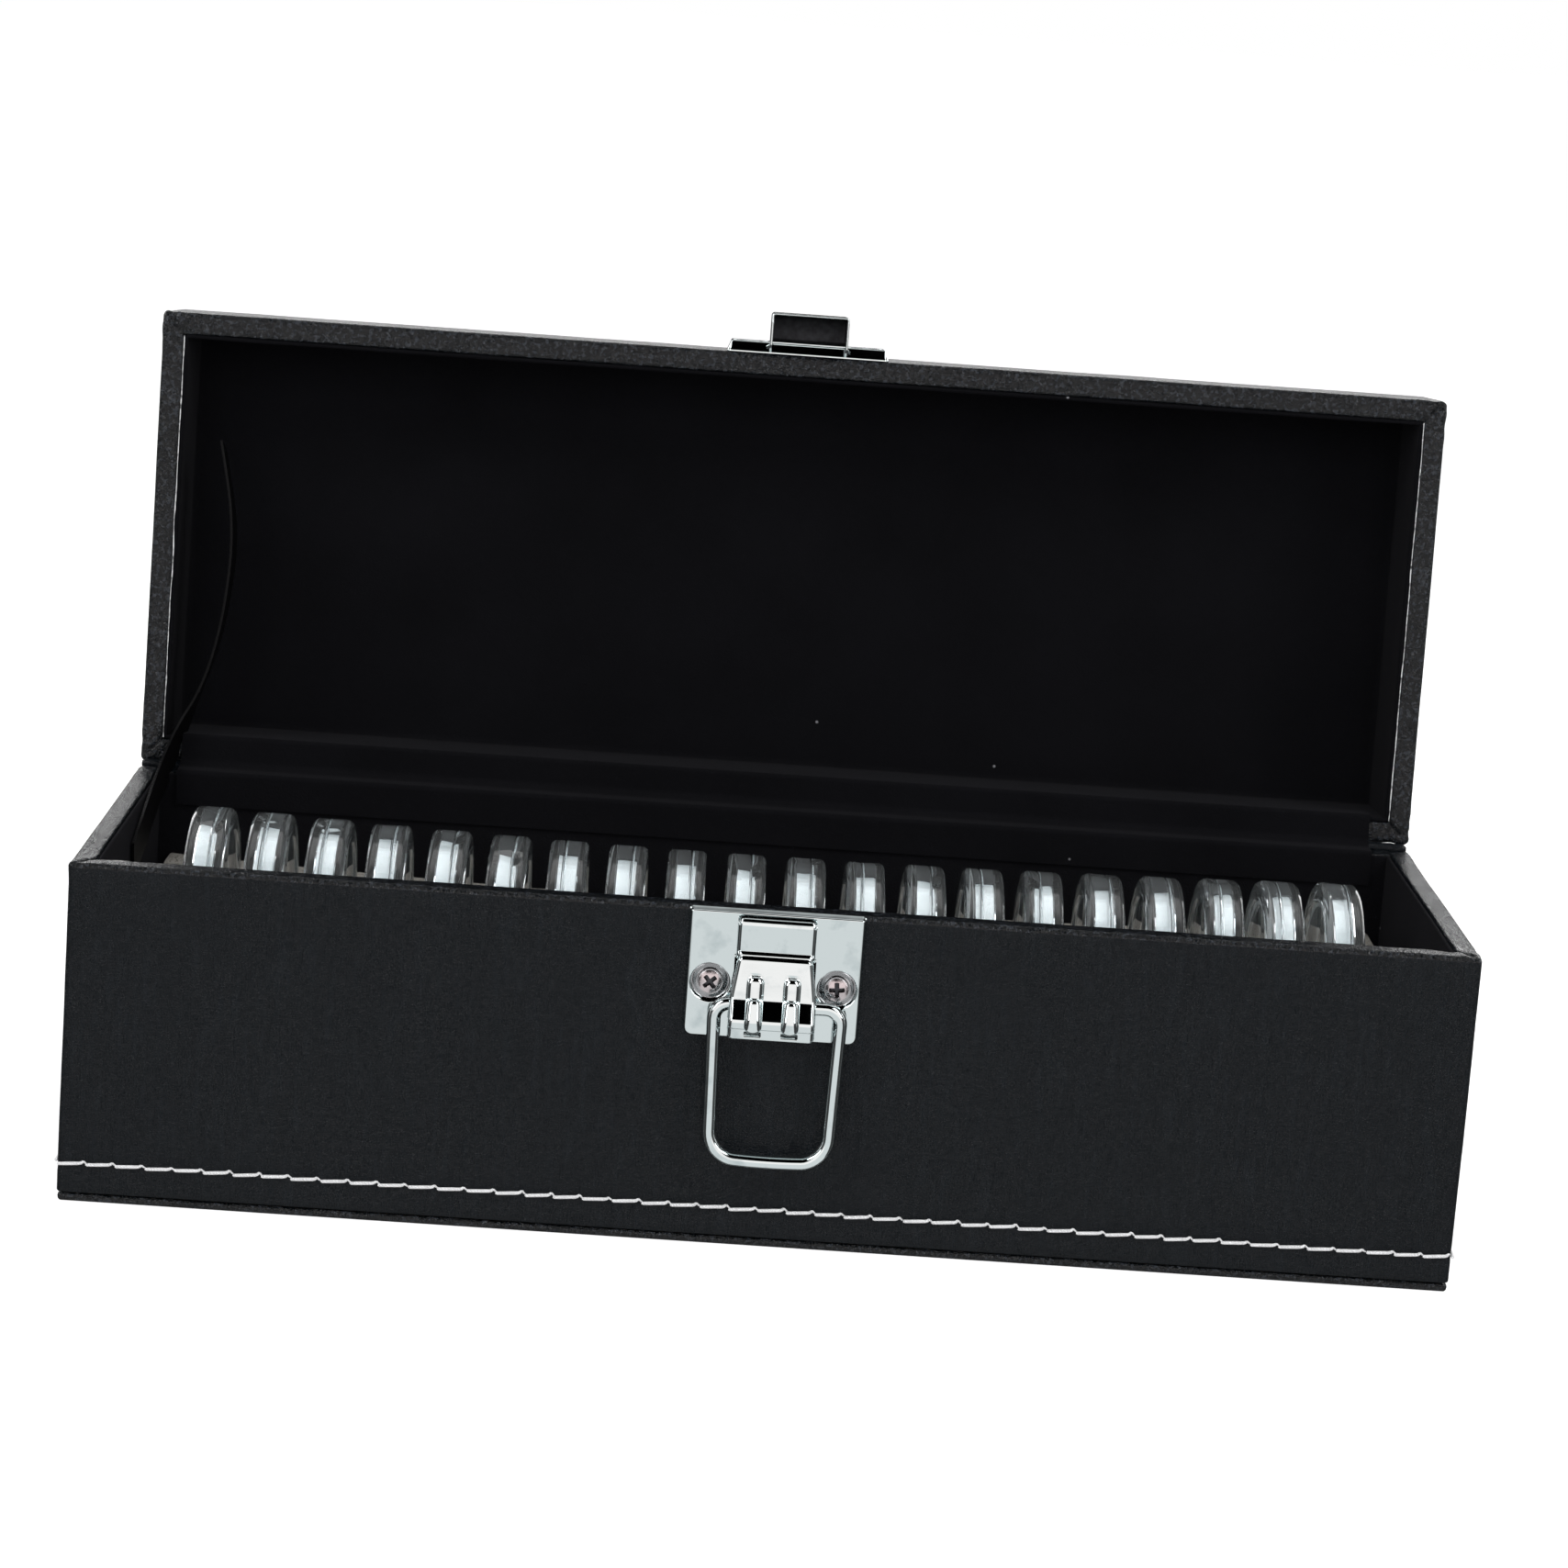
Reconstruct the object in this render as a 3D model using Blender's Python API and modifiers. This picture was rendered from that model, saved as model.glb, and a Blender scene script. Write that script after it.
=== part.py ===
"""Coin display case: a leatherette box with a hinged lid, a chromed latch with a wire bail,
and a row of clear coin capsules that stand on edge in slotted foam.

Metres, +Z up. The origin is the middle of the underside and the front faces -Y.
The lid is modelled closed and turned open about its hinge, which is the rest pose.
"""

import math

import bmesh
import bpy
from mathutils import Vector

# Outside of the case
CASE_LENGTH = 0.320
CASE_DEPTH = 0.112
BODY_HEIGHT = 0.0795
LID_HEIGHT = 0.034
LID_OPEN_ANGLE = math.radians(94.4)
RIM_GAP = 0.0005
EDGE_RADIUS = 0.0012

# Wall build-up, from the leatherette inwards
COVER_THICKNESS = 0.0008
BOARD_THICKNESS = 0.004
LID_BOARD_THICKNESS = 0.003
LINING_THICKNESS = 0.001
LINING_DROP = 0.0004
BASE_THICKNESS = 0.002
BASE_INSET = 0.0006
BASE_CORNER_RADIUS = 0.003
BASE_EDGE_RADIUS = 0.0006

# Clearance between pieces that touch, and how far a cutter runs past its wall
FIT_GAP = 0.0003
OVERRUN = 0.002
MERGE_DISTANCE = 0.00001

# Cloth hinge and ribbon stay
HINGE_BEAD_RADIUS = 0.00115
HINGE_END_INSET = 0.0015
FLAP_THICKNESS = 0.0005
FLAP_BODY_DEPTH = 0.008
FLAP_LID_DEPTH = 0.007
FLAP_END_INSET = 0.004
STAY_WIDTH = 0.010
STAY_THICKNESS = 0.0006
STAY_WALL_GAP = 0.0006
STAY_LID_HEIGHT = 0.062
STAY_LID_DEPTH = 0.012
STAY_BODY_SETBACK = 0.036
STAY_BODY_DROP = 0.016
STAY_SAG = 0.007
STAY_STAND_OFF = 0.004

# Coin capsules and their row
CAPSULE_PITCH = 0.01415
CAPSULE_RADIUS = 0.025
CAPSULE_THICKNESS = 0.0092
CAPSULE_CHAMFER = 0.0009
CAPSULE_RIM_WIDTH = 0.0042
CAPSULE_RIM_DRAFT = 0.0008
CAPSULE_WINDOW_RECESS = 0.0007
CAPSULE_PLATE = 0.0022
CAPSULE_BORE_RADIUS = 0.0216
CAPSULE_TOP_HEIGHT = 0.0815
RING_WALL = 0.0022
RING_PLATE_GAP = 0.0004
ROW_SAG = 0.0026
ROW_END_MARGIN = 0.0100

# Foam that carries the row
FOAM_END_GAP = 0.0030
FOAM_SIDE_GAP = 0.0006
INSERT_ABOVE_CENTRE = 0.002
SLOT_CLEARANCE = 0.0004

# Latch plate on the body, distances down are from the rim and outward from the leatherette
PLATE_WIDTH = 0.0402
PLATE_HEIGHT = 0.0302
PLATE_STAND = 0.0020
PLATE_SHEET = 0.0008
PLATE_CORNER_RADIUS = 0.0024
PLATE_TOP_RADIUS = 0.0006
PLATE_EDGE_RADIUS = 0.0006

# Latch tongue: width and outward place of each bend of its sheet
TONGUE_SHEET = 0.0006
TONGUE_WIDTH = 0.0176
LEVER_TOP_WIDTH = 0.0162
LEVER_FOOT_WIDTH = 0.0190
LIP_DOWN = 0.0018
PANEL_OUT = 0.0050
PANEL_TOP_DOWN = 0.0026
PANEL_FOOT_DOWN = 0.0090
LEVER_OUT = 0.0059
LEVER_DOWN = 0.0099
SHOULDER_OUT = 0.0071
SHOULDER_DOWN = 0.0193
CREST_OUT = 0.0095
CREST_DOWN = 0.0239
CREST_FOOT_DOWN = 0.0253
SKIRT_OUT = 0.0091
SKIRT_DOWN = 0.0257
SKIRT_FOOT_DOWN = 0.0279
ROOT_OUT = 0.0026
ROOT_DOWN = 0.0289
ROOT_FOOT_DOWN = 0.0297
WINDOW_WIDTH = 0.0040
WINDOW_HEIGHT = 0.0011
WINDOW_DOWN = 0.0268

# Ribs and ears of the tongue
RIB_SPACING = 0.0083
RIB_WIDTH = 0.0036
RIB_STAND = 0.0012
RIB_TOP_DOWN = 0.0138
RIB_RISE = 0.0014
RIB_RADIUS = 0.0008
EAR_SHEET = 0.0006
EAR_INSET = 0.0003
EAR_BACK_OUT = 0.0024
EAR_TOP_DOWN = 0.0184
EAR_FOOT_DOWN = 0.0249

# Bail ring
BAIL_WIRE_RADIUS = 0.0016
BAIL_WIDTH = 0.0318
BAIL_FOOT_WIDTH = 0.0302
BAIL_SHIFT = 0.0013
BAIL_DROP = 0.0377
BAIL_OUT = 0.0048
BAIL_DOWN = 0.0210
BAIL_TOP_RADIUS = 0.0035
BAIL_FOOT_RADIUS = 0.0060
BAIL_EAR_CLEARANCE = 0.00015

# Lid catch
CATCH_HEIGHT = 0.0220
CATCH_RIM_SETBACK = 0.0004
HUMP_WIDTH = 0.0192
HUMP_STAND = 0.0086
HUMP_WALL = 0.0006
HUMP_REACH = 0.0066
HUMP_RISE = 0.0130
HUMP_RADIUS = 0.0007
BAR_OUT = 0.0024
BAR_THICKNESS = 0.0011
BAR_HEIGHT = 0.0016
BAR_DOWN = 0.0027

# Screws of the latch plate and the catch
SCREW_SPACING = 0.0288
SCREW_DOWN = 0.0172
SCREW_DISH_RADIUS = 0.0046
SCREW_DISH_FOOT_RADIUS = 0.0036
SCREW_DISH_DEPTH = 0.0011
SCREW_DISH_WALL = 0.0005
SCREW_HEAD_RADIUS = 0.00315
SCREW_HEAD_HEIGHT = 0.0012
SCREW_HEAD_LAND = 0.0004
SCREW_SHANK_RADIUS = 0.0014
SCREW_SHANK_LENGTH = 0.0038
SCREW_HOLE_CLEARANCE = 0.0004
CATCH_SCREW_RISE = 0.0120

# Fineness of round shapes
CAPSULE_STEPS = 16
SCREW_STEPS = 12
BEAD_STEPS = 12
ARC_STEPS = 4
SAG_STEPS = 16
EDGE_SEGMENTS = 2
WIRE_RESOLUTION = 3
STAY_STEPS = 12

# Places worked out from the sizes above
WALL_TO_BOARD = COVER_THICKNESS + FIT_GAP
WALL_TO_LINING = WALL_TO_BOARD + BOARD_THICKNESS + FIT_GAP
RIM_WIDTH = WALL_TO_LINING - FIT_GAP
WALL_THICKNESS = WALL_TO_LINING + LINING_THICKNESS
HALF_LENGTH = CASE_LENGTH / 2
HALF_DEPTH = CASE_DEPTH / 2
SHELL_FOOT = BASE_THICKNESS + FIT_GAP
FLOOR_TOP = SHELL_FOOT + BOARD_THICKNESS
LINING_FOOT = FLOOR_TOP + FIT_GAP
ROOM_FLOOR = LINING_FOOT + LINING_THICKNESS
LID_RIM = BODY_HEIGHT + RIM_GAP
LID_TOP = LID_RIM + LID_HEIGHT
LID_ROOM_TOP = LID_TOP - COVER_THICKNESS - LID_BOARD_THICKNESS - LINING_THICKNESS - 2 * FIT_GAP
BEAD_REACH = EDGE_RADIUS + FIT_GAP + HINGE_BEAD_RADIUS
BEAD_RISE = EDGE_RADIUS + RIM_GAP / 2
HINGE_Y = HALF_DEPTH - EDGE_RADIUS + math.sqrt(BEAD_REACH ** 2 - BEAD_RISE ** 2)
HINGE_Z = BODY_HEIGHT + RIM_GAP / 2
FOAM_HALF = HALF_LENGTH - WALL_THICKNESS - FOAM_END_GAP
ROW_ROOM = 2 * (FOAM_HALF - ROW_END_MARGIN) - CAPSULE_THICKNESS
CAPSULE_COUNT = 1 + int(ROW_ROOM / CAPSULE_PITCH)
ROW_HALF = (CAPSULE_COUNT - 1) / 2 * CAPSULE_PITCH
CAPSULE_END_CENTRE = CAPSULE_TOP_HEIGHT - CAPSULE_RADIUS
LEATHER_Y = -HALF_DEPTH


def start_scene():
    """Remove what the scene holds and make the two collections."""
    for thing in list(bpy.data.objects):
        bpy.data.objects.remove(thing)
    groups = []
    for name in ("coin_display_case", "cutters"):
        group = bpy.data.collections.new(name)
        bpy.context.scene.collection.children.link(group)
        groups.append(group)
    return groups


CASE, CUTTERS = start_scene()


def make_material(name, colour, roughness, metallic=0.0, alpha=1.0):
    """A plain Principled material of one colour."""
    material = bpy.data.materials.new(name)
    material.use_nodes = True
    shader = material.node_tree.nodes["Principled BSDF"]
    shader.inputs["Base Color"].default_value = (*colour, 1.0)
    shader.inputs["Roughness"].default_value = roughness
    shader.inputs["Metallic"].default_value = metallic
    shader.inputs["Alpha"].default_value = alpha
    material.diffuse_color = (*colour, alpha)
    return material


LEATHERETTE = make_material("black_leatherette", (0.016, 0.018, 0.021), 0.42)
VELVET = make_material("black_velvet", (0.004, 0.004, 0.005), 0.95)
MDF = make_material("mdf_board", (0.36, 0.25, 0.15), 0.80)
FOAM = make_material("grey_foam", (0.15, 0.145, 0.135), 0.90)
CLEAR = make_material("clear_polystyrene", (0.80, 0.84, 0.86), 0.08, alpha=0.35)
CHROME = make_material("chromed_steel", (0.60, 0.64, 0.65), 0.12, metallic=1.0)
SCREW_STEEL = make_material("nickel_steel", (0.45, 0.42, 0.43), 0.30, metallic=1.0)
RIBBON = make_material("black_ribbon", (0.008, 0.008, 0.009), 0.60)


def put(name, mesh, seen):
    """Put a mesh in the case as a named object, or as a hidden wire among the cutters."""
    thing = bpy.data.objects.new(name, mesh)
    if seen:
        CASE.objects.link(thing)
    else:
        CUTTERS.objects.link(thing)
        thing.hide_render = True
        thing.display_type = "WIRE"
    return thing


def add_object(name, mesh, material=None):
    """A named object of one material; without a material it is a cutter."""
    if material:
        mesh.materials.append(material)
    return put(name, mesh, material is not None)


def add_boxes(name, corners, material=None):
    """One mesh of separate boxes, each given by its low and high corner."""
    mesh = bpy.data.meshes.new(name)
    shape = bmesh.new()
    for low, high in corners:
        made = bmesh.ops.create_cube(shape, size=1.0)["verts"]
        low, high = Vector(low), Vector(high)
        size = high - low
        centre = (low + high) / 2
        for vertex in made:
            vertex.co = Vector(a * b for a, b in zip(vertex.co, size)) + centre
    shape.to_mesh(mesh)
    shape.free()
    return add_object(name, mesh, material)


def add_box(name, low, high, material=None):
    return add_boxes(name, [(low, high)], material)


def add_cylinder(name, radius, start, end, steps, material=None, end_radius=None):
    """A cylinder or cone from one point to another."""
    mesh = bpy.data.meshes.new(name)
    shape = bmesh.new()
    start, end = Vector(start), Vector(end)
    run = end - start
    bmesh.ops.create_cone(shape, cap_ends=True, segments=steps, radius1=radius,
                          radius2=radius if end_radius is None else end_radius, depth=run.length)
    turn = run.to_track_quat("Z", "Y").to_matrix().to_4x4()
    turn.translation = (start + end) / 2
    bmesh.ops.transform(shape, matrix=turn, verts=shape.verts)
    shape.to_mesh(mesh)
    shape.free()
    return add_object(name, mesh, material)


def bevel(thing, width, segments=EDGE_SEGMENTS, angle=math.radians(40)):
    modifier = thing.modifiers.new("rounded_edges", "BEVEL")
    modifier.width = width
    modifier.segments = segments
    modifier.limit_method = "ANGLE"
    modifier.angle_limit = angle


def combine(thing, other, operation):
    """Boolean with the exact solver; the other object becomes a hidden cutter."""
    modifier = thing.modifiers.new(operation.lower(), "BOOLEAN")
    modifier.operation = operation
    modifier.solver = "EXACT"
    modifier.object = other
    return thing


def cut(thing, *cutters):
    for cutter in cutters:
        combine(thing, cutter, "DIFFERENCE")
    return thing


def join(thing, *others):
    for other in others:
        combine(thing, other, "UNION")
    return thing


def arc_points(centre, radius, start_angle, end_angle, steps=ARC_STEPS):
    """Points along an arc, both ends included."""
    turns = [start_angle + (end_angle - start_angle) * i / steps for i in range(steps + 1)]
    return [(centre[0] + radius * math.cos(a), centre[1] + radius * math.sin(a)) for a in turns]


def rounded_outline(left, bottom, right, top, foot_radius, top_radius):
    """A rectangle with round corners, one radius at its foot and one at its top."""
    half, full = math.pi / 2, math.pi
    corners = [((right - foot_radius, bottom + foot_radius), foot_radius, -half),
               ((right - top_radius, top - top_radius), top_radius, 0.0),
               ((left + top_radius, top - top_radius), top_radius, half),
               ((left + foot_radius, bottom + foot_radius), foot_radius, full)]
    points = []
    for centre, radius, start in corners:
        points += arc_points(centre, radius, start, start + half)
    return points


def add_outline(name, points, depth, material=None, across="Y"):
    """A flat outline given thickness: it lies in XZ and grows along Y, or in YZ along X.

    The outline's middle plane is the object's origin plane.
    """
    curve = bpy.data.curves.new(name, "CURVE")
    curve.dimensions = "2D"
    curve.fill_mode = "BOTH"
    curve.extrude = depth / 2
    spline = curve.splines.new("POLY")
    spline.points.add(len(points) - 1)
    for point, (u, v) in zip(spline.points, points):
        point.co = (u, v, 0.0, 1.0)
    spline.use_cyclic_u = True
    turn = (math.pi / 2, 0.0, 0.0) if across == "Y" else (math.pi / 2, 0.0, math.pi / 2)
    return curve_to_mesh(name, curve, material, turn)


def curve_to_mesh(name, curve, material=None, turn=(0.0, 0.0, 0.0)):
    """Evaluate a curve, weld its loose caps and keep the result as a mesh object."""
    guide = bpy.data.objects.new(name + "_guide", curve)
    guide.rotation_euler = turn
    CUTTERS.objects.link(guide)
    bpy.context.view_layer.update()
    evaluated = guide.evaluated_get(bpy.context.evaluated_depsgraph_get())
    mesh = bpy.data.meshes.new_from_object(evaluated)
    mesh.name = name
    mesh.transform(guide.matrix_world)
    shape = bmesh.new()
    shape.from_mesh(mesh)
    bmesh.ops.remove_doubles(shape, verts=shape.verts, dist=MERGE_DISTANCE)
    bmesh.ops.recalc_face_normals(shape, faces=shape.faces)
    shape.to_mesh(mesh)
    shape.free()
    bpy.data.objects.remove(guide)
    mesh.materials.clear()
    return add_object(name, mesh, material)


def place(thing, location, parent=None):
    thing.location = location
    thing.parent = parent
    return thing


def smooth(thing, angle=math.radians(35)):
    thing.data.shade_smooth()
    thing.data.set_sharp_from_angle(angle=angle)
    return thing


def front(x, out, down):
    """A point on the latch: across, outward from the leatherette and down from the rim."""
    return (x, LEATHER_Y - out, BODY_HEIGHT - down)


def front_box(name, x_low, x_high, out_low, out_high, down_low, down_high, material=None):
    return add_box(name, front(x_low, out_high, down_high), front(x_high, out_low, down_low), material)


# Box body

def row_drop(x):
    """How far the sagging row lies below the height of its end capsules."""
    return ROW_SAG * (1 - (x / ROW_HALF) ** 2)


def add_carcass(name, foot, top, board, room_foot, room_top):
    """Boards glued into one carcass: a block of their outside less the room between them."""
    board_x = HALF_LENGTH - WALL_TO_BOARD
    board_y = HALF_DEPTH - WALL_TO_BOARD
    inner_x = board_x - BOARD_THICKNESS
    inner_y = board_y - BOARD_THICKNESS
    carcass = add_box(name, (-board_x, -board_y, foot), (board_x, board_y, top), board)
    room = add_box(name + "_room", (-inner_x, -inner_y, room_foot), (inner_x, inner_y, room_top))
    return cut(carcass, room)


def build_body():
    """Covered carcass, lining and base."""
    carcass = add_carcass("body_carcass", SHELL_FOOT, BODY_HEIGHT - WALL_TO_BOARD, MDF,
                          FLOOR_TOP, BODY_HEIGHT + OVERRUN)

    cover = add_box("body_cover", (-HALF_LENGTH, -HALF_DEPTH, SHELL_FOOT),
                    (HALF_LENGTH, HALF_DEPTH, BODY_HEIGHT), LEATHERETTE)
    bevel(cover, EDGE_RADIUS)
    skin_x, skin_y = HALF_LENGTH - COVER_THICKNESS, HALF_DEPTH - COVER_THICKNESS
    mouth_x, mouth_y = HALF_LENGTH - RIM_WIDTH, HALF_DEPTH - RIM_WIDTH
    cut(cover,
        add_box("cover_hollow", (-skin_x, -skin_y, -OVERRUN),
                (skin_x, skin_y, BODY_HEIGHT - COVER_THICKNESS)),
        add_box("cover_mouth", (-mouth_x, -mouth_y, SHELL_FOOT),
                (mouth_x, mouth_y, BODY_HEIGHT + OVERRUN)))

    lining_x, lining_y = HALF_LENGTH - WALL_TO_LINING, HALF_DEPTH - WALL_TO_LINING
    room_x, room_y = HALF_LENGTH - WALL_THICKNESS, HALF_DEPTH - WALL_THICKNESS
    lining = add_box("body_lining", (-lining_x, -lining_y, LINING_FOOT),
                     (lining_x, lining_y, BODY_HEIGHT - LINING_DROP), VELVET)
    cut(lining, add_box("body_room", (-room_x, -room_y, ROOM_FLOOR),
                        (room_x, room_y, BODY_HEIGHT + OVERRUN)))

    base_x, base_y = HALF_LENGTH - BASE_INSET, HALF_DEPTH - BASE_INSET
    outline = rounded_outline(-base_x, -base_y, base_x, base_y, BASE_CORNER_RADIUS,
                              BASE_CORNER_RADIUS)
    base = add_outline("base_board", outline, BASE_THICKNESS, LEATHERETTE)
    base.rotation_euler = (-math.pi / 2, 0.0, 0.0)
    place(base, (0.0, 0.0, BASE_THICKNESS / 2))
    bevel(base, BASE_EDGE_RADIUS)
    return carcass, cover


def build_foam():
    """Foam bed and the slotted insert's two blocks, all sagging slightly under the row."""
    room_y = HALF_DEPTH - WALL_THICKNESS - FOAM_SIDE_GAP
    bed_end_top = CAPSULE_END_CENTRE - CAPSULE_RADIUS - FIT_GAP
    insert_end_top = CAPSULE_END_CENTRE + INSERT_ABOVE_CENTRE
    places = [FOAM_HALF * (2 * i / SAG_STEPS - 1) for i in range(SAG_STEPS + 1)]
    bed_top = [(x, bed_end_top - row_drop(x)) for x in places]
    bed_foot = ROOM_FLOOR + FIT_GAP
    add_outline("foam_bed", [(-FOAM_HALF, bed_foot), (FOAM_HALF, bed_foot)] + bed_top[::-1],
                2 * room_y, FOAM)
    half_slot = CAPSULE_THICKNESS / 2 + SLOT_CLEARANCE
    slot_reach = CAPSULE_RADIUS + SLOT_CLEARANCE
    slots = [((x - half_slot, -slot_reach, ROOM_FLOOR),
              (x + half_slot, slot_reach, BODY_HEIGHT)) for x in capsule_places()]
    middle = SAG_STEPS // 2
    joint = FIT_GAP / 2
    for name, side, part in (("foam_insert_left", -1, places[:middle]),
                             ("foam_insert_right", 1, places[middle + 1:])):
        block = sorted(part + [side * joint])
        foot = [(x, bed_end_top - row_drop(x) + FIT_GAP) for x in block]
        top = [(x, insert_end_top - row_drop(x)) for x in block]
        insert = add_outline(name, foot + top[::-1], 2 * room_y, FOAM)
        own = [slot for slot in slots if side * slot[0][0] + side * slot[1][0] > 0.0]
        cut(insert, add_boxes(name + "_slots", own))


# Capsules

def capsule_places():
    return [CAPSULE_PITCH * i - ROW_HALF for i in range(CAPSULE_COUNT)]


def capsule_height(x):
    """Centre height of a capsule that stands on the sagging bed with its higher edge."""
    return CAPSULE_END_CENTRE - row_drop(abs(x) + CAPSULE_THICKNESS / 2)


def profile_mesh(name, profile, material):
    """Edges in the XZ plane for a Screw modifier."""
    mesh = bpy.data.meshes.new(name)
    points = [(r, 0.0, z) for r, z in profile]
    edges = [(i, i + 1) for i in range(len(profile) - 1)]
    mesh.from_pydata(points, edges, [])
    mesh.materials.append(material)
    return mesh


def turn_profile(name, mesh, steps, seen=True):
    """An object whose profile is turned a full circle about its own Z axis."""
    thing = put(name, mesh, seen)
    screw = thing.modifiers.new("turned", "SCREW")
    screw.axis = "Z"
    screw.angle = 2 * math.pi
    screw.steps = steps
    screw.render_steps = steps
    screw.use_merge_vertices = True
    screw.merge_threshold = MERGE_DISTANCE
    return thing


def capsule_profiles():
    """The two halves, each from the axis along its outer side, top to bottom, and back.

    The cover half is the upper one. The base half carries the foam ring, pressed against its
    plate and reaching past the seam into the cover.
    """
    face = CAPSULE_THICKNESS / 2
    window = face - CAPSULE_WINDOW_RECESS
    rim = CAPSULE_RADIUS - CAPSULE_RIM_WIDTH
    inner = face - CAPSULE_PLATE
    seam = FIT_GAP / 2
    outside = [(0.0, window), (rim - CAPSULE_RIM_DRAFT, window), (rim, face),
               (CAPSULE_RADIUS - CAPSULE_CHAMFER, face), (CAPSULE_RADIUS, face - CAPSULE_CHAMFER),
               (CAPSULE_RADIUS, seam)]
    cover = outside + [(CAPSULE_BORE_RADIUS, seam), (CAPSULE_BORE_RADIUS, inner), (0.0, inner)]
    ring_outer = CAPSULE_BORE_RADIUS - FIT_GAP
    ring_inner = ring_outer - RING_WALL
    ring_face = inner - RING_PLATE_GAP
    base = [(0.0, -inner), (ring_inner, -inner), (ring_inner, ring_face), (ring_outer, ring_face),
            (ring_outer, -seam)] + [(r, -z) for r, z in reversed(outside)]
    return base, cover


def build_capsules():
    """Twenty capsules, each a base half with its foam ring and a cover half."""
    base, cover = capsule_profiles()
    base_mesh = profile_mesh("capsule_base", base, CLEAR)
    cover_mesh = profile_mesh("capsule_cover", cover, CLEAR)
    for number, x in enumerate(capsule_places(), start=1):
        for kind, mesh in (("base", base_mesh), ("cover", cover_mesh)):
            half = turn_profile(f"capsule_{number:02d}_{kind}", mesh, CAPSULE_STEPS)
            half.rotation_euler = (0.0, math.pi / 2, 0.0)
            half.location = (x, 0.0, capsule_height(x))


# Latch on the body

def add_pan(name, outline, stand, material):
    """A stamped pan: a flat face with a turned edge, open at the back."""
    pan = add_outline(name, outline, stand, material)
    place(pan, (0.0, LEATHER_Y - stand / 2, 0.0))
    bevel(pan, PLATE_EDGE_RADIUS)
    return pan


def pan_hollow(name, left, bottom, right, top, stand):
    return add_box(name, (left + PLATE_SHEET, LEATHER_Y - stand + PLATE_SHEET, bottom + PLATE_SHEET),
                   (right - PLATE_SHEET, LEATHER_Y + OVERRUN, top - PLATE_SHEET))


def screw_places(height):
    return [(side * SCREW_SPACING / 2, height) for side in (-1, 1)]


def press_dishes(pan, height, name):
    """Press a dish into the pan for each screw."""
    face = LEATHER_Y - PLATE_STAND
    for number, (x, z) in enumerate(screw_places(height)):
        boss = add_cylinder(f"{name}_boss_{number}", SCREW_DISH_RADIUS + SCREW_DISH_WALL,
                            (x, face + PLATE_SHEET / 2, z),
                            (x, face + SCREW_DISH_DEPTH + SCREW_DISH_WALL, z), SCREW_STEPS)
        dish = add_cylinder(f"{name}_dish_{number}", SCREW_DISH_RADIUS, (x, face - FIT_GAP, z),
                            (x, face + SCREW_DISH_DEPTH, z), SCREW_STEPS,
                            end_radius=SCREW_DISH_FOOT_RADIUS)
        join(pan, boss)
        cut(pan, dish)


def screw_shank_cutters(name, height):
    """Blind holes for the two screws in the cover and the board behind it."""
    depth = SCREW_SHANK_LENGTH + SCREW_HOLE_CLEARANCE
    radius = SCREW_SHANK_RADIUS + SCREW_HOLE_CLEARANCE
    return [add_cylinder(f"{name}_{number}", radius, (x, LEATHER_Y - OVERRUN, z),
                         (x, LEATHER_Y + depth, z), SCREW_STEPS)
            for number, (x, z) in enumerate(screw_places(height))]


def build_screws(name, height, seen=True):
    """Two turned screws, heads in the dishes; unseen ones are for joining to their plate."""
    seat = PLATE_STAND - SCREW_DISH_DEPTH + FIT_GAP
    crown = seat + SCREW_HEAD_HEIGHT
    profile = [(0.0, crown), (SCREW_HEAD_RADIUS / 2, crown - SCREW_HEAD_LAND / 2),
               (SCREW_HEAD_RADIUS, seat + SCREW_HEAD_LAND), (SCREW_HEAD_RADIUS, seat),
               (SCREW_SHANK_RADIUS, seat), (SCREW_SHANK_RADIUS, -SCREW_SHANK_LENGTH),
               (0.0, -SCREW_SHANK_LENGTH)]
    mesh = profile_mesh(name, profile, SCREW_STEEL)
    screws = []
    for side, (x, z) in zip(("left", "right"), screw_places(height)):
        screw = turn_profile(f"{name}_{side}", mesh, SCREW_STEPS, seen)
        screw.rotation_euler = (math.pi / 2, 0.0, 0.0)
        screw.location = (x, LEATHER_Y, z)
        screws.append(screw)
    return screws


def tongue_bends():
    """Each bend of the tongue's sheet from its lip to its foot: outward, down and width."""
    bar_face = BAR_OUT + BAR_THICKNESS
    lip_out = bar_face + FIT_GAP + TONGUE_SHEET / 2
    return [(lip_out, LIP_DOWN, TONGUE_WIDTH),
            ((lip_out + PANEL_OUT) / 2, LIP_DOWN - TONGUE_SHEET / 2, TONGUE_WIDTH),
            (PANEL_OUT, PANEL_TOP_DOWN, TONGUE_WIDTH),
            (PANEL_OUT, PANEL_FOOT_DOWN, TONGUE_WIDTH),
            (LEVER_OUT, LEVER_DOWN, LEVER_TOP_WIDTH),
            (SHOULDER_OUT, SHOULDER_DOWN, LEVER_FOOT_WIDTH),
            (CREST_OUT, CREST_DOWN, LEVER_FOOT_WIDTH),
            (CREST_OUT, CREST_FOOT_DOWN, LEVER_FOOT_WIDTH),
            (SKIRT_OUT, SKIRT_DOWN, LEVER_FOOT_WIDTH),
            (SKIRT_OUT, SKIRT_FOOT_DOWN, LEVER_FOOT_WIDTH),
            (ROOT_OUT, ROOT_DOWN, LEVER_FOOT_WIDTH),
            (ROOT_OUT, ROOT_FOOT_DOWN, LEVER_FOOT_WIDTH)]


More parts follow.
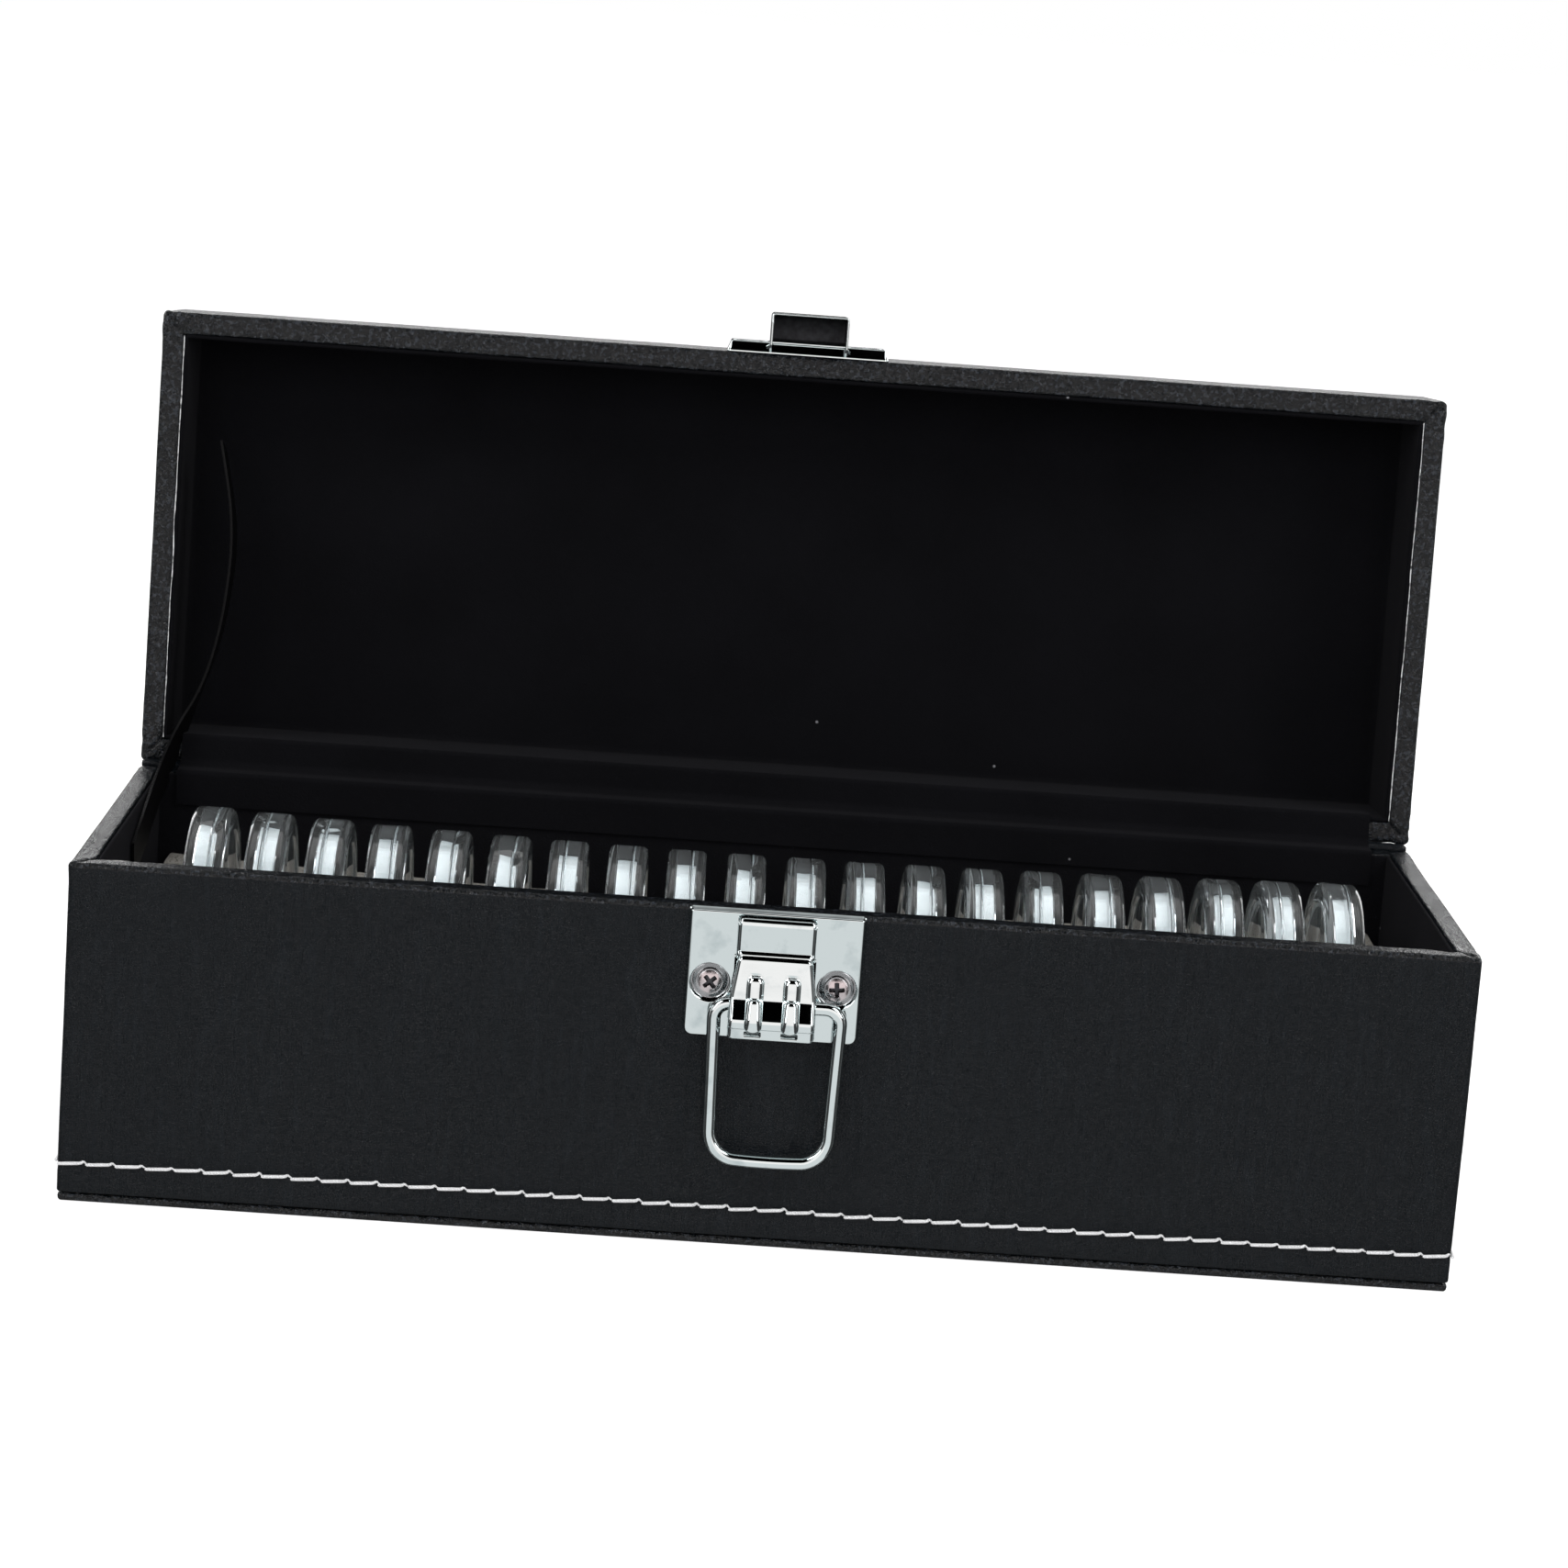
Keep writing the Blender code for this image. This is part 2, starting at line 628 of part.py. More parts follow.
def sheet_out(down):
    """How far out the middle of the tongue's sheet lies at a distance below the rim."""
    bends = tongue_bends()[2:]
    for (out_a, down_a, _), (out_b, down_b, _) in zip(bends, bends[1:]):
        if down_a <= down <= down_b:
            return out_a + (out_b - out_a) * (down - down_a) / (down_b - down_a)
    return bends[-1][0]


def add_tongue_sheet():
    """The bent sheet itself: an open strip given its thickness by Solidify."""
    mesh = bpy.data.meshes.new("latch_tongue")
    shape = bmesh.new()
    rows = [[shape.verts.new(front(side * width / 2, out, down)) for side in (-1, 1)]
            for out, down, width in tongue_bends()]
    for (a, b), (c, d) in zip(rows, rows[1:]):
        shape.faces.new((a, c, d, b))
    shape.to_mesh(mesh)
    shape.free()
    sheet = add_object("latch_tongue", mesh, CHROME)
    solidify = sheet.modifiers.new("sheet", "SOLIDIFY")
    solidify.thickness = TONGUE_SHEET
    solidify.offset = 0.0
    solidify.use_even_offset = True
    return sheet


def add_rib(number, x):
    """A rib pressed out of the lever, over the shoulder and down to the crest's foot."""
    downs = [(RIB_TOP_DOWN, 0.0), (RIB_TOP_DOWN + RIB_RISE, RIB_STAND), (SHOULDER_DOWN, RIB_STAND),
             (CREST_DOWN - RIB_RISE, RIB_STAND), (CREST_DOWN, RIB_STAND / 2), (CREST_FOOT_DOWN, 0.0)]
    skin = TONGUE_SHEET / 2
    outer = [(sheet_out(down) + skin + stand, down) for down, stand in downs]
    inner = [(sheet_out(down), down) for down, _ in downs]
    outline = [(LEATHER_Y - out, BODY_HEIGHT - down) for out, down in outer + inner[::-1]]
    rib = add_outline(f"tongue_rib_{number}", outline, RIB_WIDTH, across="X")
    place(rib, (x, 0.0, 0.0))
    bevel(rib, RIB_RADIUS, angle=math.radians(60))
    return rib


def add_ear(number, side):
    """A side ear under the shoulder and the crest, which the bail's wire passes through."""
    points = [(EAR_BACK_OUT, EAR_TOP_DOWN), (sheet_out(EAR_TOP_DOWN), EAR_TOP_DOWN),
              (SHOULDER_OUT, SHOULDER_DOWN), (CREST_OUT, CREST_DOWN),
              (CREST_OUT, EAR_FOOT_DOWN), (EAR_BACK_OUT, EAR_FOOT_DOWN)]
    outline = [(LEATHER_Y - out, BODY_HEIGHT - down) for out, down in points]
    ear = add_outline(f"tongue_ear_{number}", outline, EAR_SHEET, across="X")
    x = side * (LEVER_FOOT_WIDTH / 2 - EAR_INSET - EAR_SHEET / 2)
    return place(ear, (x, 0.0, 0.0))


def build_tongue():
    """Spring tongue: sheet, two ribs, two ears with the wire's hole, and two skirt windows."""
    tongue = add_tongue_sheet()
    for number, side in enumerate((-1, 1)):
        x = side * RIB_SPACING / 2
        join(tongue, add_ear(number, side), add_rib(number, x))
        cut(tongue, front_box(f"skirt_window_{number}", x - WINDOW_WIDTH / 2, x + WINDOW_WIDTH / 2,
                              SKIRT_OUT - OVERRUN, SKIRT_OUT + OVERRUN,
                              WINDOW_DOWN - WINDOW_HEIGHT / 2, WINDOW_DOWN + WINDOW_HEIGHT / 2))
    reach = LEVER_FOOT_WIDTH / 2 + OVERRUN
    cut(tongue, add_cylinder("wire_way", BAIL_WIRE_RADIUS + BAIL_EAR_CLEARANCE,
                             front(-reach, BAIL_OUT, BAIL_DOWN), front(reach, BAIL_OUT, BAIL_DOWN),
                             CAPSULE_STEPS))
    return tongue


def build_bail():
    """Wire ring: its top bar is the pivot and the ring hangs straight down.

    It narrows to its foot, and it has slid a little to the right in the ears.
    """
    centre = BAIL_WIDTH / 2 - BAIL_WIRE_RADIUS
    foot_share = (BAIL_FOOT_WIDTH / 2 - BAIL_WIRE_RADIUS) / centre
    drop = BAIL_DROP - BAIL_WIRE_RADIUS
    outline = rounded_outline(-centre, -drop, centre, 0.0, BAIL_FOOT_RADIUS, BAIL_TOP_RADIUS)
    curve = bpy.data.curves.new("latch_bail", "CURVE")
    curve.dimensions = "3D"
    curve.bevel_depth = BAIL_WIRE_RADIUS
    curve.bevel_resolution = WIRE_RESOLUTION
    spline = curve.splines.new("POLY")
    spline.points.add(len(outline) - 1)
    for point, (x, z) in zip(spline.points, outline):
        narrowing = 1.0 + (1.0 - foot_share) * z / drop
        point.co = (x * narrowing + BAIL_SHIFT, 0.0, z, 1.0)
    spline.use_cyclic_u = True
    bail = curve_to_mesh("latch_bail", curve, CHROME)
    pivot = bpy.data.objects.new("bail_pivot", None)
    CASE.objects.link(pivot)
    pivot.location = front(0.0, BAIL_OUT, BAIL_DOWN)
    bail.parent = pivot
    return smooth(bail)


def build_latch(carcass, cover):
    """Latch plate, tongue, bail and screws, with the screw holes in what they hold to."""
    half = PLATE_WIDTH / 2
    foot = BODY_HEIGHT - PLATE_HEIGHT
    outline = rounded_outline(-half, foot, half, BODY_HEIGHT, PLATE_CORNER_RADIUS, PLATE_TOP_RADIUS)
    plate = add_pan("latch_plate", outline, PLATE_STAND, CHROME)
    cut(plate, pan_hollow("plate_hollow", -half, foot, half, BODY_HEIGHT, PLATE_STAND))
    height = BODY_HEIGHT - SCREW_DOWN
    press_dishes(plate, height, "plate")
    build_screws("latch_screw", height)
    cutters = screw_shank_cutters("latch_screw_hole", height)
    for thing in (plate, carcass, cover):
        cut(thing, *cutters)
    build_tongue()
    build_bail()


# Lid, modelled closed under a parent empty on the hinge

def build_lid_shell(pivot):
    """Covered lid carcass and its lining."""
    cover = add_box("lid_cover", (-HALF_LENGTH, -HALF_DEPTH, LID_RIM),
                    (HALF_LENGTH, HALF_DEPTH, LID_TOP), LEATHERETTE)
    bevel(cover, EDGE_RADIUS)
    skin_x, skin_y = HALF_LENGTH - COVER_THICKNESS, HALF_DEPTH - COVER_THICKNESS
    mouth_x, mouth_y = HALF_LENGTH - RIM_WIDTH, HALF_DEPTH - RIM_WIDTH
    cut(cover,
        add_box("lid_hollow", (-skin_x, -skin_y, LID_RIM + COVER_THICKNESS),
                (skin_x, skin_y, LID_TOP - COVER_THICKNESS)),
        add_box("lid_mouth", (-mouth_x, -mouth_y, LID_RIM - OVERRUN),
                (mouth_x, mouth_y, LID_TOP - EDGE_RADIUS)))

    carcass_top = LID_TOP - WALL_TO_BOARD
    carcass = add_carcass("lid_carcass", LID_RIM + WALL_TO_BOARD, carcass_top, MDF,
                          LID_RIM - OVERRUN, carcass_top - LID_BOARD_THICKNESS)

    lining_x, lining_y = HALF_LENGTH - WALL_TO_LINING, HALF_DEPTH - WALL_TO_LINING
    room_x, room_y = HALF_LENGTH - WALL_THICKNESS, HALF_DEPTH - WALL_THICKNESS
    lining = add_box("lid_lining", (-lining_x, -lining_y, LID_RIM + LINING_DROP),
                     (lining_x, lining_y, LID_ROOM_TOP + LINING_THICKNESS), VELVET)
    cut(lining, add_box("lid_room", (-room_x, -room_y, LID_RIM - OVERRUN),
                        (room_x, room_y, LID_ROOM_TOP)))
    for thing in (cover, carcass, lining):
        thing.parent = pivot
    return carcass, cover


def build_catch(pivot, carcass, cover):
    """Stamped catch with its screws: pan, hump that reaches past the rim, and the bar inside it."""
    half = PLATE_WIDTH / 2
    foot = LID_RIM + CATCH_RIM_SETBACK
    top = foot + CATCH_HEIGHT
    outline = rounded_outline(-half, foot, half, top, PLATE_TOP_RADIUS, PLATE_CORNER_RADIUS)
    catch = add_pan("lid_catch", outline, PLATE_STAND, CHROME)
    cut(catch, pan_hollow("catch_hollow", -half, foot, half, top, PLATE_STAND))

    outer, inner = HUMP_WIDTH / 2, HUMP_WIDTH / 2 - HUMP_WALL
    mouth, crown = LID_RIM - HUMP_REACH, LID_RIM + HUMP_RISE
    root = PLATE_STAND - PLATE_SHEET / 2
    hump = add_box("catch_hump", (-outer, LEATHER_Y - HUMP_STAND, mouth),
                   (outer, LEATHER_Y - root, crown))
    bevel(hump, HUMP_RADIUS)
    clear = PLATE_STAND + FIT_GAP
    below = add_box("hump_underside", (-outer - OVERRUN, LEATHER_Y - clear, mouth - OVERRUN),
                    (outer + OVERRUN, LEATHER_Y + OVERRUN, foot))
    inside = add_box("hump_inside", (-inner, LEATHER_Y - HUMP_STAND + HUMP_WALL, mouth - OVERRUN),
                     (inner, LEATHER_Y - PLATE_STAND, crown - HUMP_WALL))
    bar_top = LID_RIM - BAR_DOWN
    bar = add_box("catch_bar", (-outer + HUMP_WALL / 2, LEATHER_Y - BAR_OUT - BAR_THICKNESS,
                                bar_top - BAR_HEIGHT),
                  (outer - HUMP_WALL / 2, LEATHER_Y - BAR_OUT, bar_top))
    join(catch, hump)
    cut(catch, below, inside)
    join(catch, bar)
    height = LID_RIM + CATCH_SCREW_RISE
    press_dishes(catch, height, "catch")
    join(catch, *build_screws("catch_screw", height, seen=False))
    catch.parent = pivot
    cutters = screw_shank_cutters("catch_screw_hole", height)
    cut(carcass, *cutters)
    cut(cover, *cutters)


def build_lid():
    """The lid closed about the hinge, then opened with its parent empty."""
    pivot = bpy.data.objects.new("lid_pivot", None)
    CASE.objects.link(pivot)
    carcass, cover = build_lid_shell(pivot)
    build_catch(pivot, carcass, cover)
    for thing in list(pivot.children):
        for modifier in thing.modifiers:
            if modifier.type == "BOOLEAN":
                modifier.object.parent = pivot
    for thing in pivot.children:
        thing.location -= Vector((0.0, HINGE_Y, HINGE_Z))
    pivot.location = (0.0, HINGE_Y, HINGE_Z)
    pivot.rotation_euler = (-LID_OPEN_ANGLE, 0.0, 0.0)


# Hinge and stay

def lid_point(y, z):
    """Where a point of the closed lid, seen from the side, lies with the lid open."""
    cosine, sine = math.cos(LID_OPEN_ANGLE), math.sin(LID_OPEN_ANGLE)
    along, up = y - HINGE_Y, z - HINGE_Z
    return (HINGE_Y + along * cosine + up * sine, HINGE_Z - along * sine + up * cosine)


def build_hinge():
    """Rolled bead of the leatherette hinge, and the velvet flap over it inside."""
    reach = HALF_LENGTH - HINGE_END_INSET
    bead = add_cylinder("hinge_bead", HINGE_BEAD_RADIUS, (-reach, HINGE_Y, HINGE_Z),
                        (reach, HINGE_Y, HINGE_Z), BEAD_STEPS, LEATHERETTE)
    smooth(bead)
    stand = FIT_GAP + FLAP_THICKNESS / 2
    room_y = HALF_DEPTH - WALL_THICKNESS - stand
    body_turn = (room_y + FLAP_THICKNESS, BODY_HEIGHT + stand)
    body_side = [(room_y, BODY_HEIGHT - FLAP_BODY_DEPTH), (room_y, BODY_HEIGHT), body_turn]
    rim_y = LID_RIM - stand
    lid_side = [lid_point(room_y + FLAP_THICKNESS, rim_y), lid_point(room_y, LID_RIM),
                lid_point(room_y, LID_RIM + FLAP_LID_DEPTH)]
    crotch_z = HINGE_Z + HINGE_BEAD_RADIUS + stand
    crotch = [(HINGE_Y - BEAD_REACH, BODY_HEIGHT + stand), (HINGE_Y - stand, crotch_z)]
    line = body_side + crotch + lid_side
    half = HALF_LENGTH - WALL_THICKNESS - FLAP_END_INSET
    add_strip("hinge_flap", [Vector((0.0, y, z)) for y, z in line], Vector((half, 0.0, 0.0)),
              FLAP_THICKNESS, VELVET)


def add_strip(name, line, half_width, thickness, material):
    """A strip of cloth along a line, given its thickness by Solidify."""
    mesh = bpy.data.meshes.new(name)
    shape = bmesh.new()
    rows = [[shape.verts.new(point - half_width), shape.verts.new(point + half_width)]
            for point in line]
    for (a, b), (c, d) in zip(rows, rows[1:]):
        shape.faces.new((a, b, d, c))
    shape.to_mesh(mesh)
    shape.free()
    strip = add_object(name, mesh, material)
    solidify = strip.modifiers.new("cloth", "SOLIDIFY")
    solidify.thickness = thickness
    solidify.offset = 0.0
    return strip


def build_stay():
    """Ribbon stay at the left: from the lid's end wall down to the body's end wall."""
    wall_x = -HALF_LENGTH + WALL_THICKNESS + STAY_WALL_GAP
    lid_y, lid_z = lid_point(HALF_DEPTH - STAY_LID_HEIGHT, LID_RIM + STAY_LID_DEPTH)
    body_y, body_z = HALF_DEPTH - STAY_BODY_SETBACK, BODY_HEIGHT - STAY_BODY_DROP
    start = Vector((wall_x, lid_y, lid_z))
    end = Vector((wall_x, body_y, body_z))
    line = []
    for i in range(STAY_STEPS + 1):
        share = i / STAY_STEPS
        hang = math.sin(math.pi * share)
        point = start.lerp(end, share)
        point.x += STAY_STAND_OFF * hang
        point.z -= STAY_SAG * hang
        line.append(point)
    run = end - start
    across = Vector((0.0, -run.z, run.y)).normalized() * STAY_WIDTH / 2
    add_strip("stay_ribbon", line, across, STAY_THICKNESS, RIBBON)


def build_case():
    carcass, cover = build_body()
    build_foam()
    build_capsules()
    build_latch(carcass, cover)
    build_lid()
    build_hinge()
    build_stay()


build_case()
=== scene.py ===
"""Coin display case as it would stand on a studio table: black leatherette over board, a
chromed latch with a wire bail, and twenty clear coin capsules on edge in slotted foam.

Metres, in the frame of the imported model: the front faces -Y and the lid stands open.
"""
import math
import random

import bmesh
import bpy
from mathutils import Matrix, Vector, noise


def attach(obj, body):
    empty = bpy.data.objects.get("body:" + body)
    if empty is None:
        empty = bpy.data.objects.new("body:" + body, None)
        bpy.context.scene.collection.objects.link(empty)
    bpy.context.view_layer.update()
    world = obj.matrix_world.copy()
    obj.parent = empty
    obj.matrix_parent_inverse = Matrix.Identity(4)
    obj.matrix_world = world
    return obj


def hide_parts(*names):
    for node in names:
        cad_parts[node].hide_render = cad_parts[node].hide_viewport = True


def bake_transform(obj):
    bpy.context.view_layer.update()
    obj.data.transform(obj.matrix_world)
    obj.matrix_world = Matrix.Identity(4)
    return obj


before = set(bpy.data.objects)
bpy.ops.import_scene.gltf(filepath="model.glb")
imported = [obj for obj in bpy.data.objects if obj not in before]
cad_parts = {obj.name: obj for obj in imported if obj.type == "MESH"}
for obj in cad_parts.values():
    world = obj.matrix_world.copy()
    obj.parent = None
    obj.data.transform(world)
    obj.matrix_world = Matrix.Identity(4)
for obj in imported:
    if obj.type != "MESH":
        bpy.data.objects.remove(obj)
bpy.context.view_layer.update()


# Board carcasses
# The body's and the lid's boards are 4 mm and 3 mm MDF, sawn and glued into two open boxes.
# The cover and the lining hide them, and only their cut edges could ever be seen.

def linear(code):
    """An sRGB hex colour as the linear one that Blender works in."""
    levels = [int(code[i:i + 2], 16) / 255 for i in (1, 3, 5)]
    return [v / 12.92 if v <= 0.04045 else ((v + 0.055) / 1.055) ** 2.4 for v in levels] + [1.0]


def add_node(tree, kind, inputs=None, **settings):
    """A shader node with its settings, and its sockets linked or given values."""
    node = tree.nodes.new("ShaderNode" + kind)
    for key, value in settings.items():
        setattr(node, key, value)
    for key, value in (inputs or {}).items():
        if isinstance(value, bpy.types.NodeSocket):
            tree.links.new(value, node.inputs[key])
        else:
            node.inputs[key].default_value = value
    return node


def start_material(name, surface):
    """A material with its even values on the shader's own sockets, and its object coordinates."""
    material = bpy.data.materials.new(name)
    material.use_nodes = True
    tree = material.node_tree
    shader = tree.nodes["Principled BSDF"]
    for key, value in surface.items():
        shader.inputs[key].default_value = value
    place = add_node(tree, "TexCoord").outputs["Object"]
    return material, tree, shader, place


def add_noise(tree, place, size, detail):
    """A cloudy pattern whose largest patches have that size in metres."""
    return add_node(tree, "TexNoise", {"Vector": place, "Scale": 1 / size, "Detail": detail}).outputs[0]


def mix_tones(tree, share, one, two):
    """A pattern's share of the way from one colour to another, both linear or linked."""
    return add_node(tree, "Mix", {0: share, 6: one, 7: two}, data_type="RGBA").outputs[2]


def tint(tree, shader, share, dark, light):
    """Let a pattern carry the surface's own colour between two hex colours."""
    tree.links.new(mix_tones(tree, share, linear(dark), linear(light)), shader.inputs["Base Color"])


def emboss(tree, shader, *reliefs):
    """Bumps laid over one another; each is a pattern, its depth in metres and perhaps a strength."""
    under = {}
    for pattern, depth, *strength in reliefs:
        bump = add_node(tree, "Bump", {"Height": pattern, "Distance": depth,
                                       "Strength": strength[0] if strength else 1.0, **under})
        under = {"Normal": bump.outputs[0]}
    tree.links.new(bump.outputs[0], shader.inputs["Normal"])


def make_mdf():
    """Raw MDF, pressed from fine fibre: matt brown with short fibre flecks."""
    material, tree, shader, place = start_material("raw_mdf", {"Roughness": 0.85, "IOR": 1.5})
    fleck_width, fleck_depth = 0.0004, 0.00005
    fleck = add_noise(tree, place, fleck_width, 3.0)
    tint(tree, shader, fleck, "#7F6548", "#B39672")
    emboss(tree, shader, (fleck, fleck_depth))
    return material


RAW_MDF = make_mdf()
for board in ("body_carcass", "lid_carcass"):
    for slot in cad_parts[board].material_slots:
        slot.material = RAW_MDF


# Body cover
# One sheet of leatherette glued round the four walls, its edge turned over the rim and its
# corners folded at 45 degrees there, which leaves a small groove and a doubled layer.

def add_ramp(tree, value, low, high, to_low=0.0, to_high=1.0, kind="LINEAR"):
    """A value carried from one range over to another, and kept within it."""
    return add_node(tree, "MapRange", {"Value": value, "From Min": low, "From Max": high, "To Min": to_low,
                                       "To Max": to_high}, interpolation_type=kind).outputs[0]


def vary_gloss(tree, shader, pattern, low, high, smooth, rough):
    """Let a pattern carry the roughness from smooth to rough, which breaks up the reflections."""
    tree.links.new(add_ramp(tree, pattern, low, high, smooth, rough), shader.inputs["Roughness"])


def make_leatherette(name, surface, base_and_glint_tones, gloss, grain_cell, grain_depth, wrinkle_length,
                     wrinkle_depth, run):
    """PU leatherette, calendered on a grain roll and glossed: a sheen broken by fine pebbles.

    The real grain cells are about 0.3 mm; they are drawn coarser so that they show. Wrinkles
    are drawn out where the run, a scale for each axis, is small, and their crests are painted lighter as
    painted glints.
    """
    material, tree, shader, place = start_material(name, surface)
    drift_length, drift = 0.002, 0.0006
    crease_length, crease_depth = 0.0035, 0.00002
    swell_length, swell_depth = 0.012, 0.00035
    cloud_length = 0.030
    wander = add_node(tree, "TexNoise", {"Vector": place, "Scale": 1 / drift_length, "Detail": 2.0})
    bent = add_node(tree, "VectorMath", {0: wander.outputs["Color"], 1: (drift,) * 3},
                    operation="MULTIPLY")
    bent = add_node(tree, "VectorMath", {0: place, 1: bent.outputs[0]}, operation="ADD")

    def net(cell, border):
        """The lines between cells of that size, as soft grooves."""
        cells = add_node(tree, "TexVoronoi", {"Vector": bent.outputs[0], "Scale": 1 / cell},
                         feature="DISTANCE_TO_EDGE")
        return add_ramp(tree, cells.outputs["Distance"], 0.0, border, kind="SMOOTHSTEP")

    pebble, fold = net(grain_cell, 0.22), net(crease_length, 0.05)
    drawn = add_node(tree, "Mapping", {"Vector": place, "Scale": run})
    wrinkle = add_node(tree, "TexNoise", {"Vector": drawn.outputs[0], "Scale": 1 / wrinkle_length,
                                          "Detail": 3.0, "Roughness": 0.6}).outputs[0]
    # The wrinkle crests take the lighter tone: painted glints on top of the shader's real gloss
    tint(tree, shader, add_ramp(tree, wrinkle, 0.48, 0.70, kind="SMOOTHSTEP"), *base_and_glint_tones)
    vary_gloss(tree, shader, add_noise(tree, place, cloud_length, 3.0), 0.3, 0.7, *gloss)
    emboss(tree, shader, (add_noise(tree, place, swell_length, 4.0), swell_depth),
           (wrinkle, wrinkle_depth), (fold, crease_depth, 0.5), (pebble, grain_depth))
    return material


# The second tone of each is the painted glint on the wrinkle crests, far lighter on the pulled rims
LEATHERETTE = make_leatherette(
    "black_pu_leatherette", {"IOR": 1.28}, base_and_glint_tones=("#04090E", "#090F14"), gloss=(0.28, 0.40),
    grain_cell=0.00055, grain_depth=0.00008, wrinkle_length=0.0015, wrinkle_depth=0.00036,
    run=(1.0, 1.0, 0.14))
PULLED_LEATHERETTE = make_leatherette(
    "leatherette_pulled_over_an_edge", {"IOR": 1.36}, base_and_glint_tones=("#030609", "#2C3036"), gloss=(0.10, 0.18),
    grain_cell=0.0006, grain_depth=0.00008, wrinkle_length=0.0009, wrinkle_depth=0.00018,
    run=(0.8, 1.0, 0.8))


HALF_LENGTH, HALF_DEPTH = 0.160, 0.056
BODY_FOOT, BODY_RIM = 0.0023, 0.0795
COVER_SHEET = 0.0008
# How far a crumple may rise, less than half of the gap between the closed rims
RIM_ROOM = 0.00022
EDGE_ROUND = 0.0012
RIM_WIDTH = 0.0051
INNER_FACE = RIM_WIDTH + 0.00025
SMALLEST_ROUND = 0.0002
STITCH_HEIGHT = 0.0090
CORNER_STEPS = 6
# Extra points of the sheet, as distances from a corner
NEAR_CORNER = (0.0004, 0.0010, 0.0016, 0.0023, 0.0030, 0.0038, 0.0047, 0.0057, 0.0068, 0.0080, 0.0093,
               0.0107, 0.0125)
LONG_COUNT, SHORT_COUNT = 90, 30


def spread(start, end, count):
    """Evenly spaced numbers with both ends."""
    return [start + (end - start) * i / count for i in range(count + 1)]


def around(steps):
    """Angles at even steps round a full turn."""
    return spread(0.0, 2 * math.pi, steps)[:-1]


def outline_loop(inset, corner):
    """Points round the case's outline: x, y, the way out, and the distance from the corner."""
    half_x, half_y = HALF_LENGTH - inset, HALF_DEPTH - inset
    points = []
    for turn in range(4):
        start = math.pi + turn * math.pi / 2
        sign_x, sign_y = (-1, 1, 1, -1)[turn], (-1, -1, 1, 1)[turn]
        centre = Vector((sign_x * (half_x - corner), sign_y * (half_y - corner)))
        for angle in spread(start, start + math.pi / 2, CORNER_STEPS):
            way = Vector((math.cos(angle), math.sin(angle)))
            points.append((centre + way * corner, way, 0.0))
        along = Vector((-way.y, way.x))
        begin = centre + way * corner
        length = 2 * ((half_y if turn % 2 else half_x) - corner)
        shrink = min(1.0, 0.3 * length / NEAR_CORNER[-1])
        near = [distance * shrink for distance in NEAR_CORNER]
        reach = near.pop()
        middle = spread(reach, length - reach, SHORT_COUNT if turn % 2 else LONG_COUNT)
        for distance in near + middle + [length - d for d in reversed(near)]:
            points.append((begin + along * distance, way, min(distance, length - distance)))
    return points


def swell_at(point):
    """How far the glued sheet stands off its board: slow swells and small puckers."""
    swell, swell_length, pucker, pucker_length = 0.00010, 0.024, 0.00004, 0.006
    return swell * noise.noise(point / swell_length) + pucker * noise.noise(point / pucker_length)


def finish_mesh(name, shape, material, sharp=math.radians(40), flat_faces=False):
    """Turn a bmesh into a smooth-shaded piece; flat faces keep their flat look if asked."""
    bmesh.ops.recalc_face_normals(shape, faces=shape.faces)
    mesh = bpy.data.meshes.new(name)
    shape.to_mesh(mesh)
    shape.free()
    mesh.materials.append(material)
    mesh.shade_smooth()
    mesh.set_sharp_from_angle(angle=sharp)
    piece = bpy.data.objects.new(name, mesh)
    bpy.context.scene.collection.objects.link(piece)
    if flat_faces:
        weighted = piece.modifiers.new("flat_faces", "WEIGHTED_NORMAL")
        weighted.keep_sharp = True
    return piece


def join_rows(shape, rows, closed=True, capped=False):
    """Faces between rows of vertices; closed rows run all the way round, and caps close the ends."""
    for low, high in zip(rows, rows[1:]):
        count = len(low)
        for i in range(count if closed else count - 1):
            j = (i + 1) % count
            shape.faces.new((low[i], low[j], high[j], high[i]))
    if capped:
        shape.faces.new(rows[0])
        shape.faces.new(rows[-1])


def wrap_sheet(name, profile, materials, ring=True, corner=EDGE_ROUND, folds=0.0):
    """A sheet wrapped round the case's outline.

    The profile is a list of (inset, height, push out, push up, pulled), where pulled rows take
    the second material. A ring's profile closes on itself; otherwise a flat face closes each
    end. Folds is the groove's depth at the mitred corners of the rim, crumpled beside it.
    """
    crumple, crumple_reach, crumple_length = 2.2 * folds, 0.0055, 0.0026
    double_layer, double_reach, groove_reach = 0.6 * folds, 0.006, 0.0007
    shape = bmesh.new()
    pulled_tight = shape.verts.layers.float.new("pulled")
    rows = []
    for inset, height, out, up, pulled in profile:
        row = []
        for point, way, distance in outline_loop(inset, max(corner - inset, SMALLEST_ROUND)):
            place = Vector((*point, height))
            lift = swell_at(place)
            near_corner = math.exp(-distance / crumple_reach)
            lift += crumple * pulled * near_corner * noise.noise(place / crumple_length)
            flat = point + way * out * lift
            if up and pulled == 1.0:
                on_short_side = way.x ** 2 > 0.5
                lift += double_layer * math.exp(-distance / double_reach) * on_short_side
                lift -= folds * math.exp(-(distance / groove_reach) ** 2)
            vert = shape.verts.new((flat.x, flat.y, height + up * min(lift, RIM_ROOM)))
            vert[pulled_tight] = pulled
            row.append(vert)
        rows.append(row)
    join_rows(shape, rows + rows[:1] if ring else rows, capped=not ring)
    for face in shape.faces:
        face.material_index = int(all(vert[pulled_tight] > 0.5 for vert in face.verts))
    sheet = finish_mesh(name, shape, materials[0])
    for material in materials[1:]:
        sheet.data.materials.append(material)
    return sheet


def turns(start, end, steps):
    """The cosine and sine at even steps between two angles in degrees."""
    return [(math.cos(a), math.sin(a)) for a in map(math.radians, spread(start, end, steps))]


